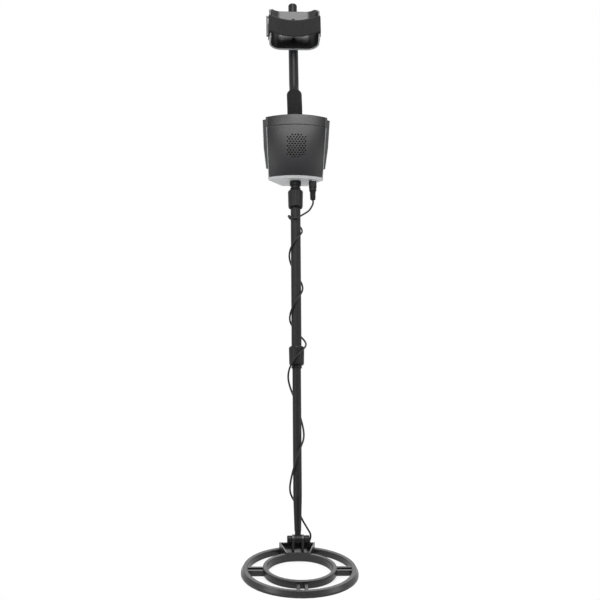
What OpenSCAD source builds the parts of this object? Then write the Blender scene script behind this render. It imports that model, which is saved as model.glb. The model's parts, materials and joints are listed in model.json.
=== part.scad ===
// Metal detector: open double-ring search coil, telescoping stem, control box, bent handle and arm cup.
// Millimetres, +Z up, +X to the right seen from the front, +Y towards the user.
// The origin is the middle of the hand grip. The coil lies flat, as it does on the ground.

/* [Search coil] */
// Outside diameter of the search coil
coil_d = 210; // [190:1:240]
// Radial width of the outer ring
outer_ring_w = 12; // [10:0.5:16]
// Outside diameter of the inner ring
inner_ring_d = 132; // [116:1:140]
// Radial width of the inner ring
inner_ring_w = 8; // [7:0.5:11]
// Height of the outer ring above the ground
outer_h = 11.5; // [10.5:0.5:15]
// Height of the inner ring above the ground
ring_h = 14.5; // [12:0.5:17]
// Thickness of the glued base
base_t = 2; // [1.5:0.1:3]
// Wall of the coil shell
coil_wall = 1.6; // [1.2:0.1:2]
// Width of one rib of a double spoke
spoke_w = 5.5; // [4:0.5:8]
// Distance between the two ribs of a spoke, centre to centre
spoke_pitch = 14; // [11:0.5:20]
// Height of the spokes above the ground
spoke_h = 10.5; // [8:0.5:10.5]
// Width of the tray at its front edge
tray_front_w = 43; // [36:1:50]
// Width of the tray at its rear edge
tray_rear_w = 66; // [56:1:76]
// Height of the tray rim above the ground
tray_h = 17.5; // [15:0.5:20]
// Rise of the tray's rim towards the rear
tray_rise = 4; // [0:0.5:6]
// Depth of the tray below its rim
tray_depth = 4; // [2:0.5:6]
// Width of the tray rim
tray_rim = 2.5; // [2:0.5:4]

/* [Yoke] */
// Distance of the hinge behind the coil centre
pivot_y = 74; // [68:1:80]
// Height of the hinge above the ground
pivot_z = 36; // [33:1:42]
// Radius of the ears and of the washers
ear_r = 9; // [8:0.5:11]
// Thickness of one ear
ear_t = 4; // [3:0.5:6]
// Thickness of the stem's tongue
tongue_t = 10.8; // [9:0.2:14]
// Thickness of one rubber washer
washer_t = 1.2; // [0.8:0.1:2]
// Diameter of the yoke bolt
bolt_d = 6; // [5:0.5:7]
// Diameter of the bolt's ribbed head
bolt_head_d = 14; // [12:0.5:17]
// Length of the bolt's head
bolt_head_l = 9; // [7:0.5:11]
// Diameter of the ribbed yoke nut
yoke_nut_d = 15; // [13:0.5:17]
// Length of the yoke nut
yoke_nut_l = 10; // [8:0.5:12]

/* [Stem] */
// Lean of the stem from upright, in degrees
stem_lean = 26; // [20:1:32]
// Outside diameter of the lower tube
lower_d = 16.2; // [15:0.1:16.6]
// Hinge to the lower tube's end, along the tapered tip
tip_len = 78; // [60:1:90]
// Diameter of the tip at the hinge
tip_neck_d = 12.6; // [11:0.1:13.2]
// Outside diameter of the middle tube and of the handle tube
tube_d = 19; // [18.6:0.1:21]
// Wall of every tube
tube_wall = 0.9; // [0.7:0.1:1.1]
// Hinge to the lower lock nut, along the stem
lower_show = 323; // [300:1:360]
// Between the two lock nuts
middle_show = 272; // [250:1:300]
// Upper lock nut to the box
neck_show = 18; // [17:0.5:26]
// Length of a lock nut
nut_len = 35; // [32:1:42]
// Diameter of a lock nut at its wide end
nut_d = 29; // [27:0.2:32]
// Diameter lost towards the narrow end of a lock nut
nut_taper = 1.2; // [0:0.1:2]
// Outside diameter of a collet's threaded sleeve
collet_d = 23; // [22.6:0.1:23.6]
// Length of lower tube inside the middle tube
lower_insert = 70; // [60:1:80]
// Length of inner tube inside the middle tube
inner_insert = 100; // [90:1:110]

/* [Handle] */
// Diameter of the foam grip
grip_d = 29.6; // [27:0.2:33]
// Straight start of the grip, below its bend
grip_low = 25; // [18:1:32]
// Angle of the bend in the grip, in degrees
grip_bend = 24; // [16:1:28]
// Radius of the bends, at the middle of the tube
bend_r = 80; // [70:1:100]
// Straight end of the grip, above its bend
grip_high = 31; // [24:1:40]
// Bare tube between the grip and the second bend
bare_leg = 4; // [2:1:12]
// Angle of the second bend, back towards the stem's line, in degrees
arm_bend = 15; // [8:1:20]
// Second bend to the front of the arm cup
arm_leg = 69; // [60:1:95]
// Tube that shows behind the arm cup
tube_past = 5; // [0:1:15]
// Diameter of the end plug where it shows
end_plug_d = 17.4; // [17.3:0.1:18.5]
// Length of the end plug that shows
end_plug_show = 20; // [12:1:26]

/* [Arm cup] */
// Length of the arm cup along the tube
cup_len = 88; // [84:1:110]
// Inside width of the arm cup
cup_w = 93; // [84:1:104]
// Height of the cup's walls above its floor
cup_h = 45; // [38:1:54]
// Wall of the arm cup
cup_wall = 3; // [2.5:0.1:4]
// Inside corner radius between floor and wall
cup_corner = 22; // [16:1:28]
// Width of the strap
strap_w = 38; // [32:1:44]
// Thickness of the strap
strap_t = 1.6; // [1.2:0.1:2.2]
// Sag of the strap between the walls
strap_sag = 18; // [10:1:24]
// Front of the cup to the middle of the strap
strap_at = 30; // [27:1:40]

/* [Control box] */
// Height of the housing along the stem
box_h = 95; // [88:1:106]
// Height of the bezel along the stem
bezel_h = 17; // [15:0.5:20]
// Width of the front at the stem's entry
box_w = 105; // [100:1:116]
// Width of the front at the top
box_top_w = 118; // [112:1:124]
// Width of the rear wall
box_rear_w = 50; // [46:1:58]
// Radius of the bulged front
front_r = 110; // [95:1:125]
// Stem axis to the front, at the entry
box_front = 22; // [20:0.5:26]
// Stem axis to the rear wall, at the entry
box_rear = 25.5; // [24:0.5:28]
// Forward rake of the box from the stem's line, in degrees
box_rake = 23; // [20:1:26]
// Wall of the housing
box_wall = 2.5; // [2:0.1:3]
// Width of each side wall's end that shows beside the front
wall_show = 2; // [1.5:0.1:2.2]
// Height of the pale base below the front
base_h = 5; // [4:0.5:8]
// Thickness of the rear cover
cover_t = 3; // [2.5:0.1:4]
// Greatest thickness of a battery door
door_t = 9; // [7:0.5:12]
// Travel of a battery door
door_travel = 12; // [8:1:14]
// Height of the loudspeaker's centre
speaker_z = 71; // [68:0.5:76]
// Diameter of the loudspeaker
speaker_d = 50; // [46:1:54]
// Diameter of one grille hole
grille_hole_d = 3; // [2:0.1:3.4]
// Distance between grille columns
grille_dx = 5.7; // [5:0.1:6.4]
// Distance between grille rows
grille_dz = 4.2; // [4:0.1:4.8]

/* [Panel] */
// Depth of the panel below the bezel's rim
panel_recess = 7; // [6.5:0.5:7.5]
// Width of the meter
meter_w = 44; // [38:1:46]
// Depth of the meter across the panel
meter_l = 24; // [20:1:25]
// Height of the meter case below the panel
meter_h = 11; // [9:0.5:11.5]
// Diameter of a control knob
knob_d = 18; // [16:0.5:20]
// Height of a control knob
knob_h = 8; // [7:0.5:10]
// Diameter of a potentiometer
pot_d = 14; // [12:0.5:14.5]
// Height of a potentiometer
pot_h = 9; // [7.5:0.5:9.5]

/* [Lead] */
// Diameter of the coil lead
lead_d = 3.5; // [2.5:0.1:3.6]
// Diameter of the plug's coupling ring
ring_d = 15; // [13:0.2:16]
// Length of the coupling ring
ring_len = 13; // [11:0.5:14]

/* [Hidden] */
$fn = 96;
// Clearances: between bodies, sliding tubes, and fixed fits
gap = 0.3;
slide_gap = 0.1;
fit = 0.05;
// Larger than the whole box, for cutting planes
big = 400;

// Coil radii and tray
outer_r = coil_d / 2;
outer_ri = outer_r - outer_ring_w;
inner_r = inner_ring_d / 2;
inner_ri = inner_r - inner_ring_w;
ring_slope = 4;
ring_foot = 2;
ring_edge = 1;
// The base under the inner ring stands back from its outside
base_inset = 1.4;
tray_y0 = inner_r - 12;
tray_y1 = outer_r - 9;
ear_gap = tongue_t + 2 * washer_t + 2 * slide_gap;
ear_out = ear_gap / 2 + ear_t;
gland_xy = [21.5, pivot_y + 12];
gland_h = 12;
gland_base_d = 9;

// Stem stations, measured along the stem from the hinge
mouth_len = 15;
lip_len = 6;
lip_d = 20;
tip_root = ear_r + 6;
tip_plug = 15;
lower_id = lower_d - 2 * tube_wall;
tube_id = tube_d - 2 * tube_wall;
inner_d = tube_id - 2 * slide_gap;
inner_id = inner_d - 2 * tube_wall;
lower_nut_s = lower_show;
middle_s0 = lower_nut_s + mouth_len;
upper_nut_s = lower_show + nut_len + middle_show;
middle_s1 = upper_nut_s + nut_len - mouth_len;
box_s = upper_nut_s + nut_len + neck_show;
lower_top_s = lower_show + lower_insert;
bush_h = 10;

// Box, in the raked frame whose Z runs up the box
total_h = box_h + bezel_h;
inner_reach = 60;
panel_t = 2;
panel_s = total_h - panel_recess;
half_w = box_w / 2;
half_top = box_top_w / 2;
corner_y = front_r - box_front - sqrt(front_r * front_r - half_w * half_w);
corner_top = front_r - box_front - sqrt(front_r * front_r - half_top * half_top);
front_y = corner_y + 0.6;
rear_half = box_rear_w / 2;
side_turn = atan2(half_w - rear_half, box_rear - corner_y);
side_len = norm([half_w - rear_half, box_rear - corner_y]);
box_rise = 120;
side_out = (half_top - half_w) * cos(side_turn) + (corner_top - corner_y) * sin(side_turn);
side_taper = atan(side_out / box_rise);
front_tilt = atan((corner_top - corner_y) / box_rise);
collar_d = 22;
collar_out = 8;
collar_in = 14;
cover_y = box_rear - cover_t;
speaker_y = speaker_d * speaker_d / 8 / front_r - box_front + box_wall + 1.2;
speaker_depth = 15;
magnet_d = 27;

// Batteries, in the frame of a side wall
battery = [17.5, 26.5, 48.5];
battery_h0 = 9;
battery_z = box_h - 59;
shelf_t = 2;
seam = 0.9;
snap_h = 4;
door_h0 = 0.8;
door_h1 = side_len - cover_t / cos(side_turn) - 1;
door_s0 = door_travel + 10;
door_s1 = box_h + 14;
door_wall = 2;
door_foot = 22;
door_foot_t = 4.5;
door_knee = 66;
door_ridges = 21;
door_ridge_pitch = 4.2;

// Panel controls, across the panel from the box's front to its rear
meter_y = -0.5;
window_h = 1.6;
knob_x = meter_w / 2 + knob_d / 2 + 2.2;
knob_y = 0.5;
shaft_d = 6;
shaft_h = knob_h - 3;
switch_y = 16.4;
toggle_pin_d = 1.2;
toggle_pin = 5;
lamp_x = 10.5;
lamp_d = 5;
screw_d = 3;
screw_head_d = 5.6;
panel_ledge = 2;
panel_screw_x = meter_w / 2 + 5;
panel_screw_y = box_rear - 6;
panel_screws_at = [[-panel_screw_x, -9.7], [panel_screw_x, -9.7], [-19, panel_screw_y], [19, panel_screw_y]];
cover_screws_at = [[-20, 1], [20, 1]];
socket_x = half_w - 19.5;
socket_y = -7;
socket_r = norm([socket_x, socket_y]);
socket_turn = atan2(socket_x, -socket_y);
jack_below = 12;
jack_at = [-16.5, battery_z - jack_below];
jack_r = 3.2;
jack_len = 15;
board_t = 1.6;

// Handle
grip_start = (box_rear + grip_d / 2 * cos(box_rake)) / sin(box_rake) + 3;
bend_s = box_s + grip_start + grip_low;
tube_end = arm_leg + cup_len + tube_past;
plug_in = 14;
// Straight runs reach this far into the bends, which are slimmer by this much
bend_lap = 4;
bend_thin = 0.3;

// Arm cup, in the frame of the arm tube
floor_y = tube_d / 2 + 1.5;
wall_top = floor_y + cup_wall + cup_h;
cup_out = cup_w / 2 + cup_wall;
bolt_at = [22, 66];
cup_bolt_d = 4;
cup_bolt_head_d = 8;
strap_x = cup_out + gap + strap_t / 2;
strap_mid = arm_leg + strap_at;
strap_end_y = 28;
strap_turn_r = cup_wall / 2 + gap + strap_t / 2;
rivet_y = 36;
loop_bar = 3;

// Coil plug, below the box
plug_flange = 1.5;
plug_body_d = ring_d - 2.4;
plug_len = 20.5;
boot_len = 17.5;
boot_d = ring_d - 3.6;
lead_start_s = box_s - plug_len - boot_len;

// Lead route along the stem: [distance from the hinge, turn about the stem, distance from its middle].
// A turn of 0 is the front, 90 the right, and the lead winds clockwise on its way down.
lead_route = [
    [lead_start_s, socket_turn, socket_r],
    [lead_start_s - 8, socket_turn, socket_r],
    [624, 74, 27],
    [616, 62, 17.4],
    [610, 30, 12.6],
    [607, 0, 12],
    [610, -50, 12.2],
    [614, -90, 13.5],
    [605, -180, 12],
    [585, -270, 12.2],
    [565, -360, 11.9],
    [536, -450, 12.5],
    [504, -540, 11.9],
    [473, -630, 12.4],
    [446, -720, 11.9],
    [414, -810, 12.4],
    [391, -900, 12.2],
    [365, -990, 17.6],
    [338, -1080, 17.4],
    [299, -1170, 16],
    [250, -1260, 11],
    [193, -1350, 12.5],
    [153, -1440, 10.6],
    [94, -1530, 14],
    [61, -1620, 10.8],
    [40, -1655, 13],
    [22, -1680, 20],
    [9, -1687, 26],
    [gland_top()[2], -1800 + atan2(gland_top()[0], -gland_top()[1]), norm([gland_top()[0],
        gland_top()[1]])],
];
// Route stations where the lead passes from one body to the next
lead_cuts = [0, 16, 19, 24, 28];
lead_trim = 0.006;
lead_steps = 6;
lead_sides = 8;

// Places

// A point on the stem's middle plane, s along the stem and d behind it
function stem_point(s, d) = [
    0,
    pivot_y + s * sin(stem_lean) + d * cos(stem_lean),
    pivot_z + s * cos(stem_lean) - d * sin(stem_lean)
];

// The middle of the hand grip, which is the origin
function hand_point() = stem_point(bend_s + bend_r * sin(grip_bend / 2), bend_r * (1 - cos(grip_bend / 2)));

// The mouth of the lead gland, seen from the stem's own frame
function gland_top() = let (dy = gland_xy[1] - pivot_y, dz = tray_h - tray_depth + gland_h - pivot_z)
    [gland_xy[0], dy * cos(stem_lean) - dz * sin(stem_lean), dy * sin(stem_lean) + dz * cos(stem_lean)];

module on_ground() {
    translate(-hand_point()) children();
}

module on_stem(s) {
    on_ground() translate([0, pivot_y, pivot_z]) rotate([-stem_lean, 0, 0]) translate([0, 0, s]) children();
}

module in_box() {
    on_stem(box_s) rotate([box_rake, 0, 0]) children();
}

// On the panel's top face, x to the right and y from the box's front to its rear
module on_panel(x, y) {
    d = (y - panel_s * sin(box_rake)) / cos(box_rake);
    on_stem(box_s) translate([x, d, panel_s]) children();
}

// On the outer face of a side wall: X outwards, Y to the rear, Z up. Side 1 is right, -1 is left
module on_side(side) {
    in_box() mirror([side < 0 ? 1 : 0, 0, 0]) side_frame() children();
}

module side_frame() {
    translate([half_w, corner_y, 0]) rotate([0, 0, side_turn]) rotate([0, side_taper, 0]) children();
}

// Upright beside a wall that leans out, from the height of the battery's foot
module bay_frame() {
    translate([half_w, corner_y, 0]) rotate([0, 0, side_turn])
        translate([battery_z * tan(side_taper), 0, 0]) children();
}

module in_bay(side) {
    in_box() mirror([side < 0 ? 1 : 0, 0, 0]) bay_frame() children();
}

module after_grip_bend() {
    on_stem(bend_s) translate([0, bend_r * (1 - cos(grip_bend)), bend_r * sin(grip_bend)])
        rotate([-grip_bend, 0, 0]) children();
}

module on_arm() {
    after_grip_bend() translate([0, -bend_r * (1 - cos(arm_bend)),
        grip_high + bare_leg + bend_r * sin(arm_bend)])
        rotate([arm_bend, 0, 0]) children();
}

// Shared shapes

module tube(od, id, len) {
    difference() {
        cylinder(d = od, h = len);
        translate([0, 0, -1]) cylinder(d = id, h = len + 2);
    }
}

// A bend that starts along Z and turns towards +Y, a hair slimmer than the straight runs it sits in
module bend(od, id, angle) {
    translate([0, bend_r, 0]) rotate([90, 0, -90]) rotate_extrude(angle = angle) translate([bend_r, 0])
        difference() {
            circle(d = od - bend_thin);
            circle(d = id + bend_thin);
        }
}

// A round knob along Z with grooves down its side
module fluted_knob(d, h, bore, grooves, groove_d) {
    difference() {
        rotate_extrude() polygon([
            [bore / 2, 0], [d / 2 - 0.8, 0], [d / 2, 0.8],
            [d / 2, h - 0.8], [d / 2 - 0.8, h], [bore / 2, h]
        ]);
        for (i = [0 : grooves - 1]) rotate([0, 0, 360 * i / grooves])
            translate([d / 2 + groove_d / 4, 0, -1])
            cylinder(d = groove_d, h = h + 2, $fn = 24);
    }
}

// A pan-head screw that points down from Z = 0
module pan_screw(d, head_d, head_h, len) {
    difference() {
        union() {
            cylinder(d = head_d, h = head_h);
            translate([0, 0, -len]) cylinder(d = d, h = len + 0.5);
        }
        for (turn = [0, 90]) rotate([0, 0, turn]) translate([0, 0, head_h])
            cube([head_d * 0.6, head_d * 0.14, head_h], center = true);
    }
}

// Search coil

module outer_ring(from_z) {
    rotate_extrude() polygon([
        [outer_ri, from_z], [outer_r, from_z], [outer_r, base_t + ring_foot],
        [outer_r - ring_slope, outer_h], [outer_ri + ring_edge, outer_h], [outer_ri, outer_h - ring_edge]
    ]);
}

module inner_ring(from_z) {
    rotate_extrude() polygon([
        [inner_ri, from_z], [inner_r, from_z], [inner_r, ring_h - ring_edge], [inner_r - ring_edge, ring_h],
        [inner_ri + ring_edge, ring_h], [inner_ri, ring_h - ring_edge]
    ]);
}

// The channels under the rings that take the windings
module ring_channels() {
    rotate_extrude() polygon([
        [outer_ri + coil_wall, 0], [outer_r - coil_wall, 0], [outer_r - coil_wall, base_t + ring_foot],
        [outer_r - ring_slope - coil_wall, outer_h - coil_wall], [outer_ri + coil_wall, outer_h - coil_wall]
    ]);
    rotate_extrude() translate([inner_ri + coil_wall, 0])
        square([inner_ring_w - 2 * coil_wall, ring_h - coil_wall]);
}

module spokes(from_z, to_z) {
    mid_r = (inner_r + inner_ri) / 2;
    for (turn = [0, 180, 270], side = [-1, 1]) rotate([0, 0, turn])
        translate([mid_r, side * spoke_pitch / 2 - spoke_w / 2, from_z])
            cube([outer_ri + outer_ring_w / 2 - mid_r, spoke_w, to_z - from_z]);
}

module tray_outline(inset) {
    polygon([
        [-tray_front_w / 2 + inset, tray_y0 + inset], [tray_front_w / 2 - inset, tray_y0 + inset],
        [tray_rear_w / 2 - inset, tray_y1 - inset], [-tray_rear_w / 2 + inset, tray_y1 - inset]
    ]);
}

module ears() {
    for (side = [-1, 1]) translate([side * (ear_gap + ear_t) / 2, pivot_y, 0]) rotate([90, 0, 90])
        linear_extrude(ear_t, center = true) {
            translate([0, pivot_z]) circle(r = ear_r);
            floor_z = tray_h - tray_depth - 1;
            polygon([[-ear_r - 3, floor_z], [ear_r + 3, floor_z], [ear_r, pivot_z], [-ear_r, pivot_z]]);
        }
}

module coil_top() {
    color("#2b2b2d") on_ground() difference() {
        union() {
            outer_ring(base_t);
            inner_ring(base_t);
            spokes(base_t, spoke_h);
            difference() {
                translate([0, 0, base_t]) linear_extrude(tray_h + tray_rise - base_t) tray_outline(0);
                translate([0, 0, tray_h - tray_depth])
                    linear_extrude(tray_depth + tray_rise + 1) tray_outline(tray_rim);
                translate([-big / 2, tray_y0, tray_h]) rotate([atan(tray_rise / (tray_y1 - tray_y0)), 0, 0])
                    translate([0, -big / 2, 0]) cube(big);
            }
            ears();
        }
        ring_channels();
        translate([0, pivot_y, pivot_z]) rotate([0, 90, 0])
            cylinder(d = bolt_d + 2 * fit, h = 2 * ear_out + 2, center = true);
        translate([gland_xy[0], gland_xy[1], tray_h - tray_depth - 5])
            cylinder(d = gland_base_d - 3, h = 6);
    }
}

module coil_base() {
    color("#222224") on_ground() {
        difference() {
            cylinder(r = outer_r, h = base_t);
            translate([0, 0, -1]) cylinder(r = outer_ri, h = base_t + 2);
        }
        difference() {
            cylinder(r = inner_r - base_inset, h = base_t);
            translate([0, 0, -1]) cylinder(r = inner_ri, h = base_t + 2);
        }
        difference() {
            union() {
                spokes(0, base_t);
                linear_extrude(base_t) tray_outline(0);
            }
            translate([0, 0, -1]) cylinder(r = (inner_r + inner_ri) / 2, h = base_t + 2);
        }
    }
}

module winding(from_r, w, h) {
    translate([0, 0, base_t]) rotate_extrude() translate([from_r, 0]) square([w, h]);
}

module transmit_winding() {
    color("#a8622e") on_ground() winding(outer_ri + coil_wall + 0.6,
        outer_ring_w - ring_slope - 2 * coil_wall, 6);
}

module receive_winding() {
    color("#a8622e") on_ground() winding(inner_ri + coil_wall + 0.4, inner_ring_w - 2 * coil_wall - 0.8, 5);
}

module lead_gland() {
    color("#1d1d1f") on_ground() translate([gland_xy[0], gland_xy[1], tray_h - tray_depth]) {
        cylinder(d1 = gland_base_d, d2 = lead_d + 2.5, h = gland_h);
        translate([0, 0, -5]) cylinder(d = gland_base_d - 3 - 2 * fit, h = 5.5);
    }
}

module yoke_bolt() {
    color("#1f1f21") on_ground() translate([0, pivot_y, pivot_z]) rotate([0, 90, 0]) {
        translate([0, 0, -ear_out]) cylinder(d = bolt_d, h = 2 * ear_out + yoke_nut_l - 2);
        translate([0, 0, -ear_out - bolt_head_l]) fluted_knob(bolt_head_d, bolt_head_l, 0, 12, 2);
    }
}

module yoke_nut() {
    color("#1f1f21") on_ground() translate([ear_out + gap, pivot_y, pivot_z]) rotate([0, 90, 0])
        difference() {
        fluted_knob(yoke_nut_d, yoke_nut_l, 0, 12, 2);
        translate([0, 0, -1]) cylinder(d = bolt_d + 2 * slide_gap, h = yoke_nut_l - 1);
    }
}

// Stem

module stem_tip() {
    color("#232325") on_stem(0) difference() {
        union() {
            rotate([90, 0, 90]) linear_extrude(tongue_t, center = true) {
                circle(r = ear_r - 0.5);
                translate([-tip_neck_d / 2 + 1, 0]) square([tip_neck_d - 2, tip_root + 2]);
            }
            translate([0, 0, tip_root]) cylinder(d1 = tip_neck_d, d2 = lower_d, h = tip_len - tip_root);
            translate([0, 0, tip_len - 0.5]) cylinder(d = lower_id - 2 * fit, h = tip_plug + 0.5);
        }
        rotate([0, 90, 0]) cylinder(d = bolt_d + 2 * slide_gap, h = tongue_t + 2, center = true);
    }
}

module yoke_washers() {
    color("#151516") on_stem(0) for (side = [-1, 1]) translate([side * (tongue_t + washer_t) / 2, 0, 0])
        rotate([0, 90, 0]) difference() {
            cylinder(r = ear_r - 0.5, h = washer_t, center = true);
            cylinder(d = bolt_d + 2 * slide_gap, h = washer_t + 2, center = true);
        }
}

module lower_tube() {
    color("#2e2e31") on_stem(tip_len) tube(lower_d, lower_id, lower_top_s - tip_len);
}

module guide_bush() {
    color("#d8d6cf") on_stem(lower_top_s) {
        cylinder(d = tube_id - 2 * slide_gap, h = bush_h);
        translate([0, 0, -12]) cylinder(d = lower_id - 2 * fit, h = 12.5);
    }
}

module middle_tube() {
    color("#2e2e31") on_stem(middle_s0) tube(tube_d, tube_id, middle_s1 - middle_s0);
}

// A split collet on a tube's end at Z = 0, with its mouth and lip towards +Z
module collet(slider_d) {
    sleeve = nut_len - mouth_len - 3;
    bore_r = slider_d / 2 + slide_gap;
    difference() {
        rotate_extrude() polygon([
            [tube_d / 2 + fit, -sleeve], [collet_d / 2, -sleeve], [collet_d / 2, 0], [lip_d / 2 - 1, 1.5],
            [lip_d / 2 - 1, mouth_len + lip_len - 4], [lip_d / 2, mouth_len + lip_len - 3],
            [lip_d / 2, mouth_len + lip_len - 1], [lip_d / 2 - 1, mouth_len + lip_len],
            [bore_r, mouth_len + lip_len], [bore_r, fit], [tube_d / 2 + fit, fit]
        ]);
        for (turn = [0, 90]) rotate([0, 0, turn]) translate([-collet_d, -0.6, 6])
            cube([2 * collet_d, 1.2, big]);
    }
}

// A fluted lock nut whose Z = 0 is at the tube's end inside it, with its mouth towards +Z
module lock_nut(wide_mouth) {
    tail = nut_len - mouth_len;
    mouth_r = nut_d / 2 - (wide_mouth ? 0 : nut_taper / 2);
    tail_r = nut_d / 2 - (wide_mouth ? nut_taper / 2 : 0);
    flutes = 12;
    flute_d = 4.2;
    difference() {
        rotate_extrude() polygon([
            [collet_d / 2 + gap, -tail], [tail_r - 1, -tail], [tail_r, -tail + 2.5],
            [mouth_r, mouth_len - 2.5], [mouth_r - 2, mouth_len], [lip_d / 2 + gap - 1, mouth_len],
            [lip_d / 2 + gap - 1, 2.2], [collet_d / 2 + gap, 0.6]
        ]);
        for (i = [0 : flutes - 1]) rotate([0, 0, 360 * (i + 0.5) / flutes])
            translate([nut_d / 2 + 0.3 * flute_d, 0, -tail - 1])
            cylinder(d = flute_d, h = nut_len + 2, $fn = 24);
    }
}

module lower_collet() {
    color("#c9c7c0") on_stem(middle_s0) mirror([0, 0, 1]) collet(lower_d);
}

module upper_collet() {
    color("#222224") on_stem(middle_s1) collet(inner_d);
}

module lower_lock_nut() {
    color("#28282a") on_stem(middle_s0) mirror([0, 0, 1]) lock_nut(false);
}

module upper_lock_nut() {
    color("#28282a") on_stem(middle_s1) lock_nut(true);
}

module tube_screw_holes(d) {
    translate([0, 0, collar_in - 5]) rotate([0, 90, 0]) cylinder(d = d, h = collar_d + 6, center = true);
}

module inner_tube() {
    inner_s0 = middle_s1 - inner_insert;
    color("#2e2e31") difference() {
        on_stem(inner_s0) tube(inner_d, inner_id, box_s + inner_reach - inner_s0);
        on_stem(box_s) tube_screw_holes(screw_d);
    }
}

// Handle

module handle_tube() {
    color("#303033") difference() {
        union() {
            on_stem(box_s - collar_out + 1) tube(tube_d, tube_id,
                bend_s - box_s + collar_out - 1 + bend_lap);
            on_stem(bend_s) bend(tube_d, tube_id, grip_bend);
            after_grip_bend() translate([0, 0, -bend_lap])
                tube(tube_d, tube_id, grip_high + bare_leg + 2 * bend_lap);
            after_grip_bend() translate([0, 0, grip_high + bare_leg]) mirror([0, 1, 0])
                bend(tube_d, tube_id, arm_bend);
            on_arm() translate([0, 0, -bend_lap]) tube(tube_d, tube_id, tube_end + bend_lap);
        }
        on_stem(box_s) tube_screw_holes(screw_d);
        on_arm() cup_bolt_holes();
    }
}

module tube_end_plug() {
    color("#1c1c1e") on_arm() translate([0, 0, tube_end]) {
        translate([0, 0, -plug_in]) cylinder(d = tube_id - 2 * fit, h = plug_in + 0.5);
        rotate_extrude() {
            square([end_plug_d / 2, end_plug_show - 4]);
            square([end_plug_d / 2 - 4, end_plug_show]);
            translate([end_plug_d / 2 - 4, end_plug_show - 4]) intersection() {
                circle(r = 4);
                square(4);
            }
        }
    }
}

// Half of the grip's section at an end, with its rounded shoulder, as a ring of height 6
module grip_end() {
    r = 5;
    bore_r = tube_d / 2 + fit;
    rotate_extrude() difference() {
        union() {
            translate([bore_r, 0]) square([grip_d / 2 - r - bore_r, r + 1]);
            square([grip_d / 2, 1]);
            translate([grip_d / 2 - r, 1]) circle(r = r);
        }
        translate([-1, -1]) square([bore_r + 1, 2 * r + 4]);
        translate([0, -2 * r]) square([grip_d, 2 * r]);
    }
}

module foam_grip() {
    end = 6;
    bore = tube_d + 2 * fit;
    color("#3a3a3c") {
        on_stem(bend_s - grip_low + end) mirror([0, 0, 1]) grip_end();
        on_stem(bend_s - grip_low + end) tube(grip_d, bore, grip_low - end + bend_lap);
        on_stem(bend_s) bend(grip_d, bore, grip_bend);
        after_grip_bend() translate([0, 0, -bend_lap]) tube(grip_d, bore, grip_high - end + bend_lap);
        after_grip_bend() translate([0, 0, grip_high - end]) grip_end();
    }
}

// Arm cup: the floor lies on the front of the tube, towards -Y of the arm's frame

module cup_section(half, corner, depth) {
    square_top = depth - corner;
    translate([-half, -depth]) square([2 * half, square_top]);
    translate([-half + corner, -corner - 1]) square([2 * (half - corner), corner + 1]);
    for (side = [-1, 1]) translate([side * (half - corner), -corner]) circle(r = corner);
}

module cup_bolt_holes() {
    for (z = bolt_at) translate([0, 0, arm_leg + z]) rotate([90, 0, 0])
        cylinder(d = cup_bolt_d + 2 * slide_gap, h = 2 * cup_w, center = true);
}

module arm_cup() {
    depth = cup_h + cup_wall;
    rear_cut = 27;
    color("#2a2a2c") on_arm() difference() {
        union() {
            translate([0, -floor_y, arm_leg]) linear_extrude(cup_len) difference() {
                cup_section(cup_out, cup_corner + cup_wall, depth);
                translate([0, -cup_wall]) cup_section(cup_w / 2, cup_corner, depth);
            }
            translate([-tube_d / 2 - 2, -floor_y - 0.5, arm_leg + 12])
                cube([tube_d + 4, floor_y + 0.5, cup_len - 24]);
        }
        translate([0, 0, arm_leg - 1]) cylinder(d = tube_d + 2 * fit, h = cup_len + 2);
        // The walls fall away to the floor behind the strap
        translate([-cup_out - 1, -wall_top, arm_leg + cup_len - rear_cut])
            rotate([atan2(rear_cut, cup_h - 8), 0, 0])
            translate([0, -big / 2, 0]) cube([2 * cup_out + 2, big, big / 4]);
        cup_bolt_holes();
        rivet_holes(screw_d + 2 * slide_gap);
    }
}

module cup_bolts() {
    color("#8d8d90") on_arm() for (z = bolt_at) translate([0, -floor_y - cup_wall, arm_leg + z])
        rotate([90, 0, 0])
        pan_screw(cup_bolt_d, cup_bolt_head_d, 2.4, floor_y + cup_wall + tube_d / 2 + 4);
}

module cup_nuts() {
    color("#8d8d90") on_arm() for (z = bolt_at) translate([0, tube_d / 2 + 0.4, arm_leg + z])
        rotate([-90, 0, 0])
        difference() {
            cylinder(d = 8, h = 5, $fn = 6);
            translate([0, 0, -1]) cylinder(d = cup_bolt_d + 2 * fit, h = 5.4);
        }
}

module rivet_holes(d) {
    for (side = [-1, 1]) translate([cup_out, -rivet_y, strap_mid + side * strap_w / 4]) rotate([0, 90, 0])
        cylinder(d = d, h = 20, center = true);
}

// Strap: up the outside of each wall, over its edge, and slack between the walls

strap_edge = -2 * strap_sag / (cup_w / 2);
strap_turn = 90 + atan(-strap_edge);
strap_top = [cup_w / 2 + cup_wall / 2, wall_top];

// Points of one half, from the middle of the sag to the free end, y growing towards the open side
function strap_inside(x) = let (x1 = strap_top[0] + strap_turn_r * cos(strap_turn),
        y1 = strap_top[1] + strap_turn_r * sin(strap_turn)) y1 - strap_sag * (1 - pow(x / x1, 2));
function strap_half() = let (x1 = strap_top[0] + strap_turn_r * cos(strap_turn)) concat(
    [for (i = [0 : 7]) [x1 * i / 8, strap_inside(x1 * i / 8)]],
    [for (i = [8 : -1 : 0]) strap_top + strap_turn_r * [cos(strap_turn * i / 8), sin(strap_turn * i / 8)]],
    [[strap_x, strap_end_y]]
);

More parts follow.
